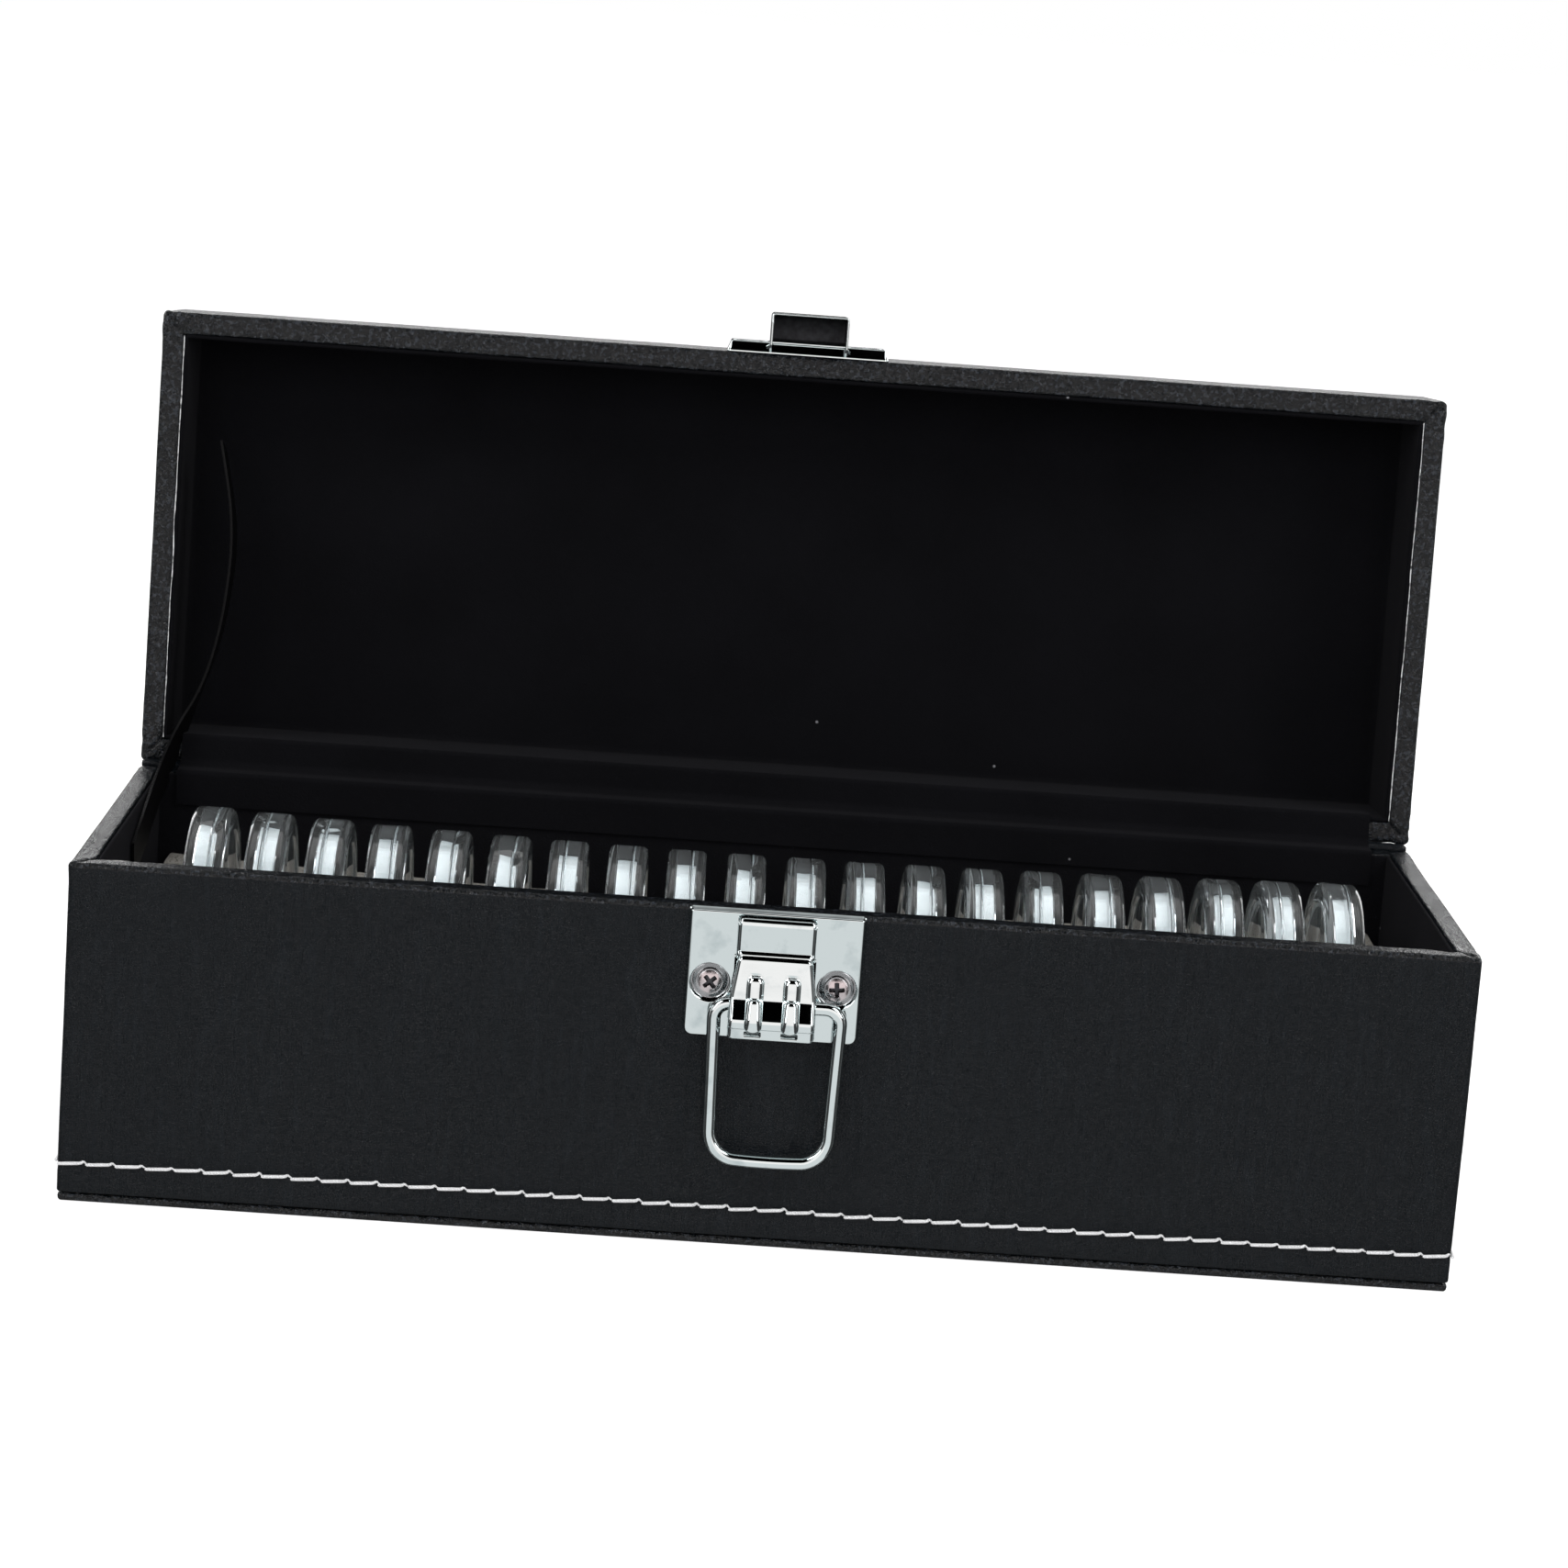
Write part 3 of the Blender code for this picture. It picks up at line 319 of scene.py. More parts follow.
def arc(centre, radius, start, end, steps):
    """Points on an arc."""
    return [(centre[0] + radius * c, centre[1] + radius * s) for c, s in turns(start, end, steps)]


def rim_profile(rim, up):
    """The sheet turned over the rim and a little way down inside; up is 1 or -1."""
    turned, turn_in, glue = 0.0005, 0.0060, 0.00002
    outer = [(EDGE_ROUND - c * EDGE_ROUND, rim - up * EDGE_ROUND * (1 - s), c, up * s, 1.0)
             for c, s in turns(0, 90, 5)]
    top = [(inset, rim, 0.0, up, 1.0) for inset in spread(EDGE_ROUND, INNER_FACE - turned, 5)[1:]]
    inner = [(INNER_FACE - turned + s * turned, rim - up * turned * (1 - c), 0.0, up * c, 1.0)
             for c, s in turns(0, 90, 3)[1:]]
    under = rim - up * COVER_SHEET
    foot = rim - up * turn_in
    hidden = [(INNER_FACE, foot), (RIM_WIDTH + glue, foot), (RIM_WIDTH + glue, under),
              (COVER_SHEET, under)]
    return outer + top + inner + [(inset, height, 0.0, 0.0, 0.0) for inset, height in hidden]


# The wall's rows; the stitches press the three at their height in a little
pressed_in, thread_half, foot_edge = 0.00008, 0.0008, BODY_FOOT + 0.0003
pressed = [STITCH_HEIGHT - thread_half, STITCH_HEIGHT, STITCH_HEIGHT + thread_half]
wall_heights = [foot_edge, 0.0045, 0.0070, *pressed, 0.0108]
wall_heights += spread(0.0135, BODY_RIM - EDGE_ROUND, 18)[:-1]
body_foot = [(inset, height, 0.0, 0.0, 0.0)
             for inset, height in ((COVER_SHEET, foot_edge), (0.0005, BODY_FOOT), (0.0002, BODY_FOOT))]
body_wall = [(pressed_in if height in pressed else 0.0, height, 1.0, 0.0, 0.0) for height in wall_heights]
body_profile = body_foot + body_wall + rim_profile(BODY_RIM, 1)
body_cover = wrap_sheet("body_leatherette", body_profile, (LEATHERETTE, PULLED_LEATHERETTE), folds=0.00022)
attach(body_cover, "case")
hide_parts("body_cover")


# Base board
# A 2 mm board wrapped in the case's own black leatherette, pulled tight and shiny over its
# edges, and glued under the box with a fine groove left between the two.

base_profile = [(0.0012, 0.0), (0.0006, 0.00015), (0.0003, 0.0005), (0.0002, 0.0011), (0.0003, 0.0016),
                (0.0006, 0.0019), (0.0012, 0.0020)]
base_wrap = wrap_sheet("base_leatherette", [(inset, height, 0.0, 0.0, 1.0) for inset, height in base_profile],
                       (LEATHERETTE, PULLED_LEATHERETTE), ring=False)
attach(base_wrap, "case")
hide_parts("base_board")


# Stitching
# A row of thick white saddle stitches just above the foot of the body, all the way round:
# each stitch lies a little aslant, hooks up at its right end and runs thinly down to the next.

STITCH_PITCH = 0.0067
THREAD_RADIUS = 0.00039
SEAM_DRIFT = 0.0022


def make_thread():
    """White bonded polyester thread: twisted plies give it soft slanting ridges.

    The real ply turns are about 0.4 mm apart; they are drawn at 0.6 mm.
    """
    material, tree, shader, place = start_material(
        "white_polyester_thread", {"Roughness": 0.55, "IOR": 1.5, "Sheen Weight": 0.3})
    ply_pitch, ply_depth, fuzz_length = 0.0006, 0.00010, 0.003
    ply = add_node(tree, "TexWave", {"Vector": place, "Scale": 1 / ply_pitch / 2,
                                     "Distortion": 1.5}, bands_direction="DIAGONAL")
    tint(tree, shader, add_noise(tree, place, fuzz_length, 3.0), "#DCDCDE", "#FAFAFB")
    emboss(tree, shader, (ply.outputs[0], ply_depth))
    return material


def add_tube(shape, points, radii, sides):
    """A closed tube along points, with its own radius at each."""
    rows = []
    for i, (point, radius) in enumerate(zip(points, radii)):
        ahead = (points[min(i + 1, len(points) - 1)] - points[max(i - 1, 0)]).normalized()
        across = ahead.cross(Vector((0.13, 0.31, 0.94))).normalized()
        other = ahead.cross(across)
        rows.append([shape.verts.new(point + (across * math.cos(a) + other * math.sin(a)) * radius)
                     for a in around(sides)])
    join_rows(shape, rows, capped=True)


def build_stitching():
    """Every stitch of the four sides in one piece.

    A stitch's path is a list of (share of the pitch, height, stand off the wall, thickness).
    """
    chance = random.Random(7)
    shape = bmesh.new()
    slip, height_slip, tube_sides = 0.03, 0.00010, 8
    path = [(0.02, -0.00014, 0.00030, 0.75), (0.07, -0.00020, 0.00037, 1.0), (0.30, -0.00010, 0.00039, 1.05),
            (0.58, 0.00003, 0.00039, 1.05), (0.78, 0.00011, 0.00038, 1.0), (0.85, 0.00024, 0.00038, 0.95),
            (0.90, 0.00048, 0.00036, 0.85), (0.94, 0.00046, 0.00028, 0.65), (1.00, 0.00010, 0.00014, 0.55),
            (1.05, -0.00018, -0.00020, 0.45), (1.06, -0.00020, -0.00045, 0.40)]
    sides = [((-HALF_LENGTH, -HALF_DEPTH), (1, 0), (0, -1), 2 * HALF_LENGTH),
             ((HALF_LENGTH, -HALF_DEPTH), (0, 1), (1, 0), 2 * HALF_DEPTH),
             ((HALF_LENGTH, HALF_DEPTH), (-1, 0), (0, 1), 2 * HALF_LENGTH),
             ((-HALF_LENGTH, HALF_DEPTH), (0, -1), (-1, 0), 2 * HALF_DEPTH)]
    for (x, y), along, out, length in sides:
        corner, along, out = Vector((x, y, 0.0)), Vector((*along, 0.0)), Vector((*out, 0.0))
        count = round(length / STITCH_PITCH)
        pitch = length / count
        for number in range(count):
            place = corner + along * pitch * (number + chance.uniform(-slip, slip))
            height = STITCH_HEIGHT - SEAM_DRIFT * place.x + chance.uniform(-height_slip, height_slip)
            slant = chance.uniform(0.8, 1.3)
            shown = [spot for spot in path if 0.0 < pitch * (number + spot[0]) < length]
            points = [place + along * pitch * share + out * rise + Vector((0.0, 0.0, height + lean * slant))
                      for share, lean, rise, _ in shown]
            add_tube(shape, points, [THREAD_RADIUS * spot[3] for spot in shown], tube_sides)
    return finish_mesh("body_stitching", shape, make_thread(), sharp=math.radians(70))


stitching = build_stitching()
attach(stitching, "case")


# Lid cover
# The same sheet glued over the lid, turned in over its rim with mitred corners. The sheet's
# raw edge shows its white backing as a thin ragged line down the two short rims.

LID_RIM, LID_TOP = 0.0800, 0.1140
HINGE = Vector((0.0, 0.057018, 0.07975))
LID_OPEN = math.radians(94.4)
OPENED = (Matrix.Translation(HINGE) @ Matrix.Rotation(-LID_OPEN, 4, "X")
          @ Matrix.Translation(-HINGE))

lid_wall = [(0.0, height, 1.0, 0.0, 0.0) for height in spread(LID_RIM + EDGE_ROUND, LID_TOP - EDGE_ROUND, 9)]
lid_edge = [(EDGE_ROUND - c * EDGE_ROUND, LID_TOP - EDGE_ROUND * (1 - s), c, s, s * c)
            for c, s in turns(0, 90, 5)]
lid_field = [(inset, LID_TOP, 0.0, 1.0, 0.0)
             for inset in (0.0022, 0.004, 0.008, 0.014, 0.021, 0.029, 0.037, 0.045, 0.051)]
lid_middle = 0.0545
lid_field.append((lid_middle, LID_TOP, 0.0, 0.0, 0.0))
lid_under = [(inset, LID_TOP - COVER_SHEET, 0.0, 0.0, 0.0) for inset in (lid_middle, COVER_SHEET)]
lid_rim = rim_profile(LID_RIM, -1)
lid_profile = lid_under + lid_rim[::-1] + lid_wall[1:-1] + lid_edge + lid_field
lid_cover = wrap_sheet("lid_leatherette", lid_profile, (LEATHERETTE, PULLED_LEATHERETTE), ring=False,
                       folds=0.00034)
lid_cover.data.transform(OPENED)
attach(lid_cover, "lid")
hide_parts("lid_cover")


def make_backing():
    """The cotton backing that shows where leatherette is cut: off-white, matt and fluffy."""
    material, tree, shader, place = start_material("cotton_backing", {"Roughness": 0.95, "IOR": 1.45})
    tuft_length, tuft_depth = 0.0012, 0.0001
    tuft = add_noise(tree, place, tuft_length, 4.0)
    tint(tree, shader, add_ramp(tree, tuft, 0.30, 0.52), "#3A3A3C", "#D9D9DA")
    emboss(tree, shader, (tuft, tuft_depth))
    return material


COTTON_BACKING = make_backing()


def build_raw_edge(name, side):
    """The ragged cut edge along one short rim of the lid, modelled closed and then opened."""
    shape = bmesh.new()
    rows = []
    reach, fray_length, thinnest, fray, wander = HALF_DEPTH - 0.0058, 0.004, 0.00012, 0.00016, 0.00016
    frayed_share, proud, slope, thick = 0.45, 0.00002, 0.00004, 0.00030
    for y in spread(-reach, reach, 130):
        here = Vector((side * 3.0, y / fray_length, 0.5))
        width = thinnest + fray * max(0.0, noise.noise(here) + frayed_share)
        drift = wander * noise.noise(here * 0.35 + Vector((7, 0, 0)))
        inset = INNER_FACE + drift
        x, far = side * (HALF_LENGTH - inset), side * (HALF_LENGTH - inset - width)
        low = LID_RIM - proud
        rows.append([shape.verts.new(p) for p in ((x, y, low), (far, y, low + slope),
                                                  (far, y, low + thick), (x, y, low + thick))])
    join_rows(shape, rows, capped=True)
    edge = finish_mesh(name, shape, COTTON_BACKING)
    edge.data.transform(OPENED)
    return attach(edge, "lid")


build_raw_edge("lid_raw_edge_left", -1)
build_raw_edge("lid_raw_edge_right", 1)


# Velvet linings
# Black flock velvet glued on 1 mm card, one tray in the body and one in the lid, pushed in
# just below the rims so that their soft top edges show inside the leatherette.

WALL_TO_LINING, WALL_THICKNESS = 0.0054, 0.0064
LINING_DROP = 0.0004


def make_velvet():
    """Flocked velvet: almost no light comes back but a faint sheen at the edge, and lint sits on it.

    The pile is about 0.1 mm; its clumps are drawn at 0.5 mm.
    """
    material, tree, shader, place = start_material(
        "black_flock_velvet", {"Roughness": 1.0, "IOR": 1.3, "Specular IOR Level": 0.15,
                               "Sheen Weight": 0.05, "Sheen Roughness": 0.5,
                               "Sheen Tint": linear("#8E8E96")})
    pile, pile_depth, patch_length, lint_spacing = 0.0005, 0.00015, 0.025, 0.020
    nap = mix_tones(tree, add_noise(tree, place, patch_length, 2.0), linear("#08080A"), linear("#0F0F12"))
    speck = add_node(tree, "TexVoronoi", {"Vector": place, "Scale": 1 / lint_spacing})
    lint = add_ramp(tree, speck.outputs["Distance"], 0.022, 0.014)
    tree.links.new(mix_tones(tree, lint, nap, linear("#77777B")), shader.inputs["Base Color"])
    emboss(tree, shader, (add_noise(tree, place, pile, 3.0), pile_depth))
    return material


VELVET = make_velvet()


def lining_profile(foot, rim, floor, up):
    """A tray's side from its outer foot over its soft top edge to its floor."""
    round_edge = (WALL_THICKNESS - WALL_TO_LINING) / 2
    middle = WALL_TO_LINING + round_edge
    outer = [(WALL_TO_LINING, height, 0.0, 0.0, 0.0) for height in spread(foot, rim - up * round_edge, 6)]
    edge = [(middle + c * round_edge, rim - up * round_edge * (1 - s), -0.5, up, 0.0)
            for c, s in turns(180, 0, 6)[1:-1]]
    cove = 0.0015
    inner = [(WALL_THICKNESS, height, -1.0, 0.0, 0.0)
             for height in spread(rim - up * round_edge, floor + up * cove, 10)]
    bend = [(WALL_THICKNESS + cove * (1 - c), floor + up * cove * (1 - s), 0.0, 0.0, 0.0)
            for c, s in turns(0, 90, 4)[1:]]
    return outer + edge + inner + bend


body_lining = wrap_sheet("body_velvet", lining_profile(0.0066, BODY_RIM - LINING_DROP, 0.0076, 1),
                         (VELVET,), ring=False, corner=0.0066)
lid_lining = wrap_sheet("lid_velvet", lining_profile(0.1096, LID_RIM + LINING_DROP, 0.1086, -1),
                        (VELVET,), ring=False, corner=0.0066)
lid_lining.data.transform(OPENED)
for lining, node, body in ((body_lining, "body_lining", "case"), (lid_lining, "lid_lining", "lid")):
    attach(lining, body)
    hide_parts(node)


# Foam bed and slotted foam
# Grey polyurethane foam, sawn from a sheet: a bed that the capsules stand on, and on it a
# block with a slot cut right through for each capsule. Both sag a little under the row.

CAPSULE_PITCH, CAPSULE_COUNT = 0.01415, 20
ROW_HALF = CAPSULE_PITCH * (CAPSULE_COUNT - 1) / 2
ROW_SAG = 0.0026
CAPSULE_RADIUS, CAPSULE_THICKNESS = 0.025, 0.0092
FOAM_LENGTH, FOAM_WIDTH = 0.1506, 0.0490


def row_drop(x):
    """How far the sagging row lies below its ends."""
    return ROW_SAG * (1 - (x / ROW_HALF) ** 2)


def make_foam():
    """Polyurethane foam, blown and sawn: matt grey-beige with open cells, each pore painted dark as its
    shade.

    The real cells are about 0.4 mm; they are drawn at 0.7 mm.
    """
    material, tree, shader, place = start_material("sawn_grey_foam", {"Roughness": 0.95, "IOR": 1.4})
    cell, cell_depth, dust_length = 0.0007, 0.00020, 0.009
    pore = add_node(tree, "TexVoronoi", {"Vector": place, "Scale": 1 / cell})
    cell_walls_over_pore_shade = add_ramp(tree, pore.outputs["Distance"], 0.15, 0.45)
    sawn = mix_tones(tree, add_noise(tree, place, dust_length, 4.0), linear("#7F7C76"), linear("#A9A69F"))
    # The pores are painted dark grey-brown: painted shade inside the open cells
    tree.links.new(mix_tones(tree, cell_walls_over_pore_shade, linear("#45423E"), sawn), shader.inputs["Base Color"])
    emboss(tree, shader, (cell_walls_over_pore_shade, cell_depth))
    return material


def saw_foam(name, xs, ys, slots, foot, top, material):
    """A foam block on a grid of saw lines; cells that lie in a slot are left open."""
    shape = bmesh.new()
    levels, waviness, wave_length, soft_edge = 5, 0.00022, 0.007, 0.0006
    axis_shifts = (0.0, 31.7, 67.3)
    found = {}

    def corner(i, j, k):
        """The vertex where three saw lines cross, pushed a little out of line."""
        if (i, j, k) not in found:
            x, y = xs[i], ys[j]
            z = foot(x) + (top(x) - foot(x)) * k / levels
            here = Vector((x, y, z))
            push = Vector([noise.noise(here / wave_length + Vector((shift, 0, 0))) for shift in axis_shifts])
            found[i, j, k] = shape.verts.new(here + push * waviness)
        return found[i, j, k]

    def solid(i, j):
        """Whether there is foam between those saw lines and the next ones."""
        if not (0 <= i < len(xs) - 1 and 0 <= j < len(ys) - 1):
            return False
        x, y = (xs[i] + xs[i + 1]) / 2, (ys[j] + ys[j + 1]) / 2
        return not any(abs(x - place) < half_x and abs(y) < half_y for place, half_x, half_y in slots)

    for i in range(len(xs) - 1):
        for j in range(len(ys) - 1):
            if not solid(i, j):
                continue
            square = ((i, j), (i + 1, j), (i + 1, j + 1), (i, j + 1))
            for k in (0, levels):
                shape.faces.new([corner(a, b, k) for a, b in square])
            beyond = ((i, j - 1), (i + 1, j), (i, j + 1), (i - 1, j))
            for side, (a, b) in enumerate(beyond):
                if solid(a, b):
                    continue
                one, two = square[side], square[(side + 1) % 4]
                for k in range(levels):
                    shape.faces.new((corner(*one, k), corner(*two, k),
                                     corner(*two, k + 1), corner(*one, k + 1)))
    bmesh.ops.recalc_face_normals(shape, faces=shape.faces)
    sharp = [e for e in shape.edges if len(e.link_faces) == 2
             and e.calc_face_angle() > math.radians(55)]
    bmesh.ops.bevel(shape, geom=sharp, offset=soft_edge, segments=2, profile=0.5, affect="EDGES",
                    clamp_overlap=True)
    return finish_mesh(name, shape, material)


def build_foam():
    """The bed, plain, and the block with its twenty slots."""
    foam = make_foam()
    half_slot, slot_reach = 0.0050, 0.0254
    places = [CAPSULE_PITCH * i - ROW_HALF for i in range(CAPSULE_COUNT)]
    ys = (spread(-FOAM_WIDTH, -slot_reach, 6)[:-1] + spread(-slot_reach, slot_reach, 12)[:-1]
          + spread(slot_reach, FOAM_WIDTH, 6))
    xs = spread(-FOAM_LENGTH, places[0] - half_slot, 3)
    for place, following in zip(places, places[1:] + [None]):
        xs += spread(place - half_slot, place + half_slot, 3)[1:]
        xs += spread(place + half_slot, following - half_slot if following else FOAM_LENGTH,
                     2 if following else 3)[1:]
    bed_end, block_end, gap = 0.0312, 0.0585, 0.0003
    bed = saw_foam("foam_bed_sheet", xs[::2], ys[::2], [], lambda x: 0.0079,
                   lambda x: bed_end - row_drop(x), foam)
    block = saw_foam("foam_slotted_block", xs, ys, [(x, half_slot, slot_reach) for x in places],
                     lambda x: bed_end + gap - row_drop(x), lambda x: block_end - row_drop(x), foam)
    for piece, nodes in ((bed, ["foam_bed"]), (block, ["foam_insert_left", "foam_insert_right"])):
        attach(piece, "case")
        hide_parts(*nodes)


build_foam()


# Coin capsules
# Two clear polystyrene halves snapped together round a white foam ring that would centre a
# coin. The halves meet in a stepped seam off the middle, with a small notch to open them.

FACE = CAPSULE_THICKNESS / 2
BORE = 0.0216


def make_clear_plastic():
    """Injection-moulded crystal polystyrene: water clear with a cool tint and handling scuffs."""
    material, tree, shader, place = start_material(
        "clear_polystyrene", {"Base Color": linear("#F1F6F8"), "IOR": 1.59,
                              "Transmission Weight": 0.96})
    flow, flow_depth, scuff_length = 0.008, 0.00005, 0.0012
    vary_gloss(tree, shader, add_noise(tree, place, scuff_length, 5.0), 0.52, 0.75, 0.012, 0.05)
    emboss(tree, shader, (add_noise(tree, place, flow, 2.0), flow_depth))
    return material


def make_ring_foam():
    """Die-cut closed-cell EVA foam: bright white and matt with faint skin marks."""
    material, tree, shader, place = start_material("white_eva_foam", {"Roughness": 0.7, "IOR": 1.48})
    skin_length, skin_depth = 0.0015, 0.00005
    skin = add_noise(tree, place, skin_length, 3.0)
    tint(tree, shader, skin, "#D6DCDE", "#F6FAFA")
    emboss(tree, shader, (skin, skin_depth))
    return material


def join_turned(shape, rows):
    """Faces between rings of vertices, where a row of one vertex is a point on the axis."""
    steps = max(len(row) for row in rows)
    faces = []
    for low, high in zip(rows, rows[1:]):
        for i in range(steps):
            j = (i + 1) % steps
            ring = [low[i % len(low)], low[j % len(low)], high[j % len(high)], high[i % len(high)]]
            faces.append(shape.faces.new(list(dict.fromkeys(ring))))
    return faces


def turn_shape(profile, steps, notch=None):
    """A body turned about X from (radius, x) points; radius 0 is a point on the axis.

    The notch is (half angle in steps, x low, x high, depth): the outer skin dips there.
    """
    skin_from = 0.0240
    shape = bmesh.new()
    rows = []
    for radius, x in profile:
        row = []
        for i in range(steps if radius else 1):
            angle = 2 * math.pi * i / steps
            away = min(i, steps - i)
            r = radius
            if notch and away <= notch[0] and notch[1] < x < notch[2] and radius > skin_from:
                r -= notch[3]
            row.append(shape.verts.new((x, -r * math.sin(angle), r * math.cos(angle))))
        rows.append(row)
    join_turned(shape, rows)
    return shape


def half_profile(seam, step, tongue_out):
    """One half from the axis over its outer face to the stepped seam, then back inside.

    The half lies on the -X side of its seam. Its wall meets the other half in a step: this
    half's inner part reaches past the seam when tongue_out is 1, and stops short at -1.
    """
    face, window = -FACE, -FACE + 0.0007
    soft = 0.0004
    rim = CAPSULE_RADIUS - 0.0042
    split = 0.0233
    outside = [(0.0, window), (rim - 0.0011, window), (rim - 0.0008, window - 0.00012),
               (rim - 0.0002, face + 0.00012), (rim + 0.0002, face), (0.0232, face),
               (0.0241 - soft, face), (0.02432, face + 0.00016), (0.0247, face + 0.00055),
               (0.0249, face + 0.0009), (CAPSULE_RADIUS, face + 0.0013)]
    wall_end = seam - 0.0001
    inner_end = seam + tongue_out * step - 0.00006
    edge = [(CAPSULE_RADIUS, wall_end - 0.00016), (CAPSULE_RADIUS - 0.00016, wall_end),
            (split, wall_end), (split, inner_end), (BORE, inner_end)]
    inner_face = face + 0.0022
    inside = [(BORE, inner_face + 0.0003), (BORE - 0.0003, inner_face), (0.0, inner_face)]
    return outside + edge + inside


def mirrored(profile):
    """The same profile with its sides changed over."""
    return [(radius, -x) for radius, x in profile]


def take_mesh(model):
    """A model's mesh alone, which several pieces then share."""
    mesh = model.data
    bpy.data.objects.remove(model)
    return mesh


def build_capsules():
    """Twenty capsules from four half shapes and one ring, each a little turned and tilted."""
    clear, white = make_clear_plastic(), make_ring_foam()
    steps, off_middle, step, stand = 96, 0.0010, 0.0007, 0.0565
    notch_half, notch_depth = 0.0004, 0.0006
    shells = {}
    for side in (-1, 1):
        seam = side * off_middle
        notch = (1, seam - notch_half, seam + notch_half, notch_depth)
        halves = (half_profile(seam, step, 1), mirrored(half_profile(-seam, step, -1)))
        for kind, profile in zip(("base", "cover"), halves):
            shells[side, kind] = take_mesh(finish_mesh(f"capsule_{kind}_shape",
                                                       turn_shape(profile, steps, notch), clear,
                                                       sharp=math.radians(30)))
    soft = 0.0003
    low, high, outer, inner = -0.0024, 0.0020, 0.0213, 0.0191
    ring_profile = [(inner, low + soft), (inner + soft, low), (outer - soft, low), (outer, low + soft),
                    (outer, high - soft), (outer - soft, high), (inner + soft, high),
                    (inner, high - soft), (inner, low + soft)]
    ring_shape = turn_shape(ring_profile, steps)
    bmesh.ops.remove_doubles(ring_shape, verts=ring_shape.verts, dist=1e-6)
    ring_mesh = take_mesh(finish_mesh("capsule_ring_shape", ring_shape, white))
    # Which side of the middle each seam lies on, as in the photograph
    seams = (1, -1, -1, 1, 1, 1, -1, 1, 1, 1, 1, -1, 1, -1, -1, 1, 1, -1, -1, 1)
    chance = random.Random(11)
    for number in range(1, CAPSULE_COUNT + 1):
        x = CAPSULE_PITCH * (number - 1) - ROW_HALF
        height = stand - row_drop(abs(x) + CAPSULE_THICKNESS / 2)
        tilt = Matrix()
        for axis, most in (("Z", 0.6), ("Y", 0.5), ("X", 28)):
            tilt @= Matrix.Rotation(math.radians(chance.uniform(-most, most)), 4, axis)
        place = Matrix.Translation((x, 0.0, height)) @ tilt
        side = seams[number - 1]
        for kind, mesh in (("base_shell", shells[side, "base"]), ("cover_shell", shells[side, "cover"]),
                           ("foam_ring", ring_mesh)):
            piece = bpy.data.objects.new(f"capsule_{number:02d}_{kind}", mesh)
            bpy.context.scene.collection.objects.link(piece)
            piece.matrix_world = place
            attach(piece, f"capsule_{number:02d}")
            if kind != "foam_ring":
                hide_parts(f"capsule_{number:02d}_{kind.split('_')[0]}")


build_capsules()


# Latch plate
# Chromed steel pan, stamped from 0.8 mm sheet with a turned edge and two dishes for its
# screws. It stands 2 mm off the leatherette on its turned edge.

PLATE_WIDTH, PLATE_HEIGHT = 0.0402, 0.0302
PLATE_STAND, PLATE_SHEET = 0.0020, 0.0008
SCREW_SPACING, SCREW_DOWN = 0.0288, 0.0172
ROUND_STEPS = 6


def make_chrome():
    """Bright chrome plate over stamped steel: a cool mirror with polishing swirls and finger marks.

    The real swirls are finer than 0.1 mm; they are drawn at 0.5 mm.
    """
    material, tree, shader, place = start_material("chromed_steel", {"Metallic": 1.0})
    smear_length, dent_length, dent_depth = 0.006, 0.009, 0.00010
    scratch_width, scratch_depth = 0.0005, 0.000002
    smear = add_noise(tree, place, smear_length, 5.0)
    along = add_node(tree, "Mapping", {"Vector": place, "Rotation": (0.4, 0.7, 0.5),
                                       "Scale": (0.05, 1.0, 1.0)})
    tint(tree, shader, add_ramp(tree, smear, 0.56, 0.74), "#CBD4D5", "#B4BFC1")
    vary_gloss(tree, shader, smear, 0.45, 0.75, 0.05, 0.13)
    emboss(tree, shader, (add_noise(tree, place, dent_length, 1.0), dent_depth),
           (add_noise(tree, along.outputs[0], scratch_width, 2.0), scratch_depth))
    return material


CHROME = make_chrome()


def pan_loop(half, foot, top, foot_round, top_round, inset):
    """A plate's outline in x and z, drawn in by an inset, always with the same point count."""
    low, high, reach = foot + inset, top - inset, half - inset
    foot_round, top_round = (max(radius - inset, SMALLEST_ROUND) for radius in (foot_round, top_round))
    corners = ((reach, low, foot_round, -90), (reach, high, top_round, 0),
               (-reach, high, top_round, 90), (-reach, low, foot_round, 180))
    points = []
    for x, z, radius, start in corners:
        centre = (x - math.copysign(radius, x), z + (radius if z == low else -radius))
        points += arc(centre, radius, start, start + 90, ROUND_STEPS)
    return points


def circle(x, z, radius, steps=40):
    """Points round a circle."""
    return [(x + radius * math.cos(a), z + radius * math.sin(a)) for a in around(steps)]


def fill_face(shape, *loops):
    """A flat face between an outer loop of vertices and the holes in it."""
    edges = []
    for loop in loops:
        for one, two in zip(loop, loop[1:] + loop[:1]):
            edges.append(shape.edges.get((one, two)) or shape.edges.new((one, two)))
    bmesh.ops.triangle_fill(shape, use_beauty=True, use_dissolve=False, edges=edges)


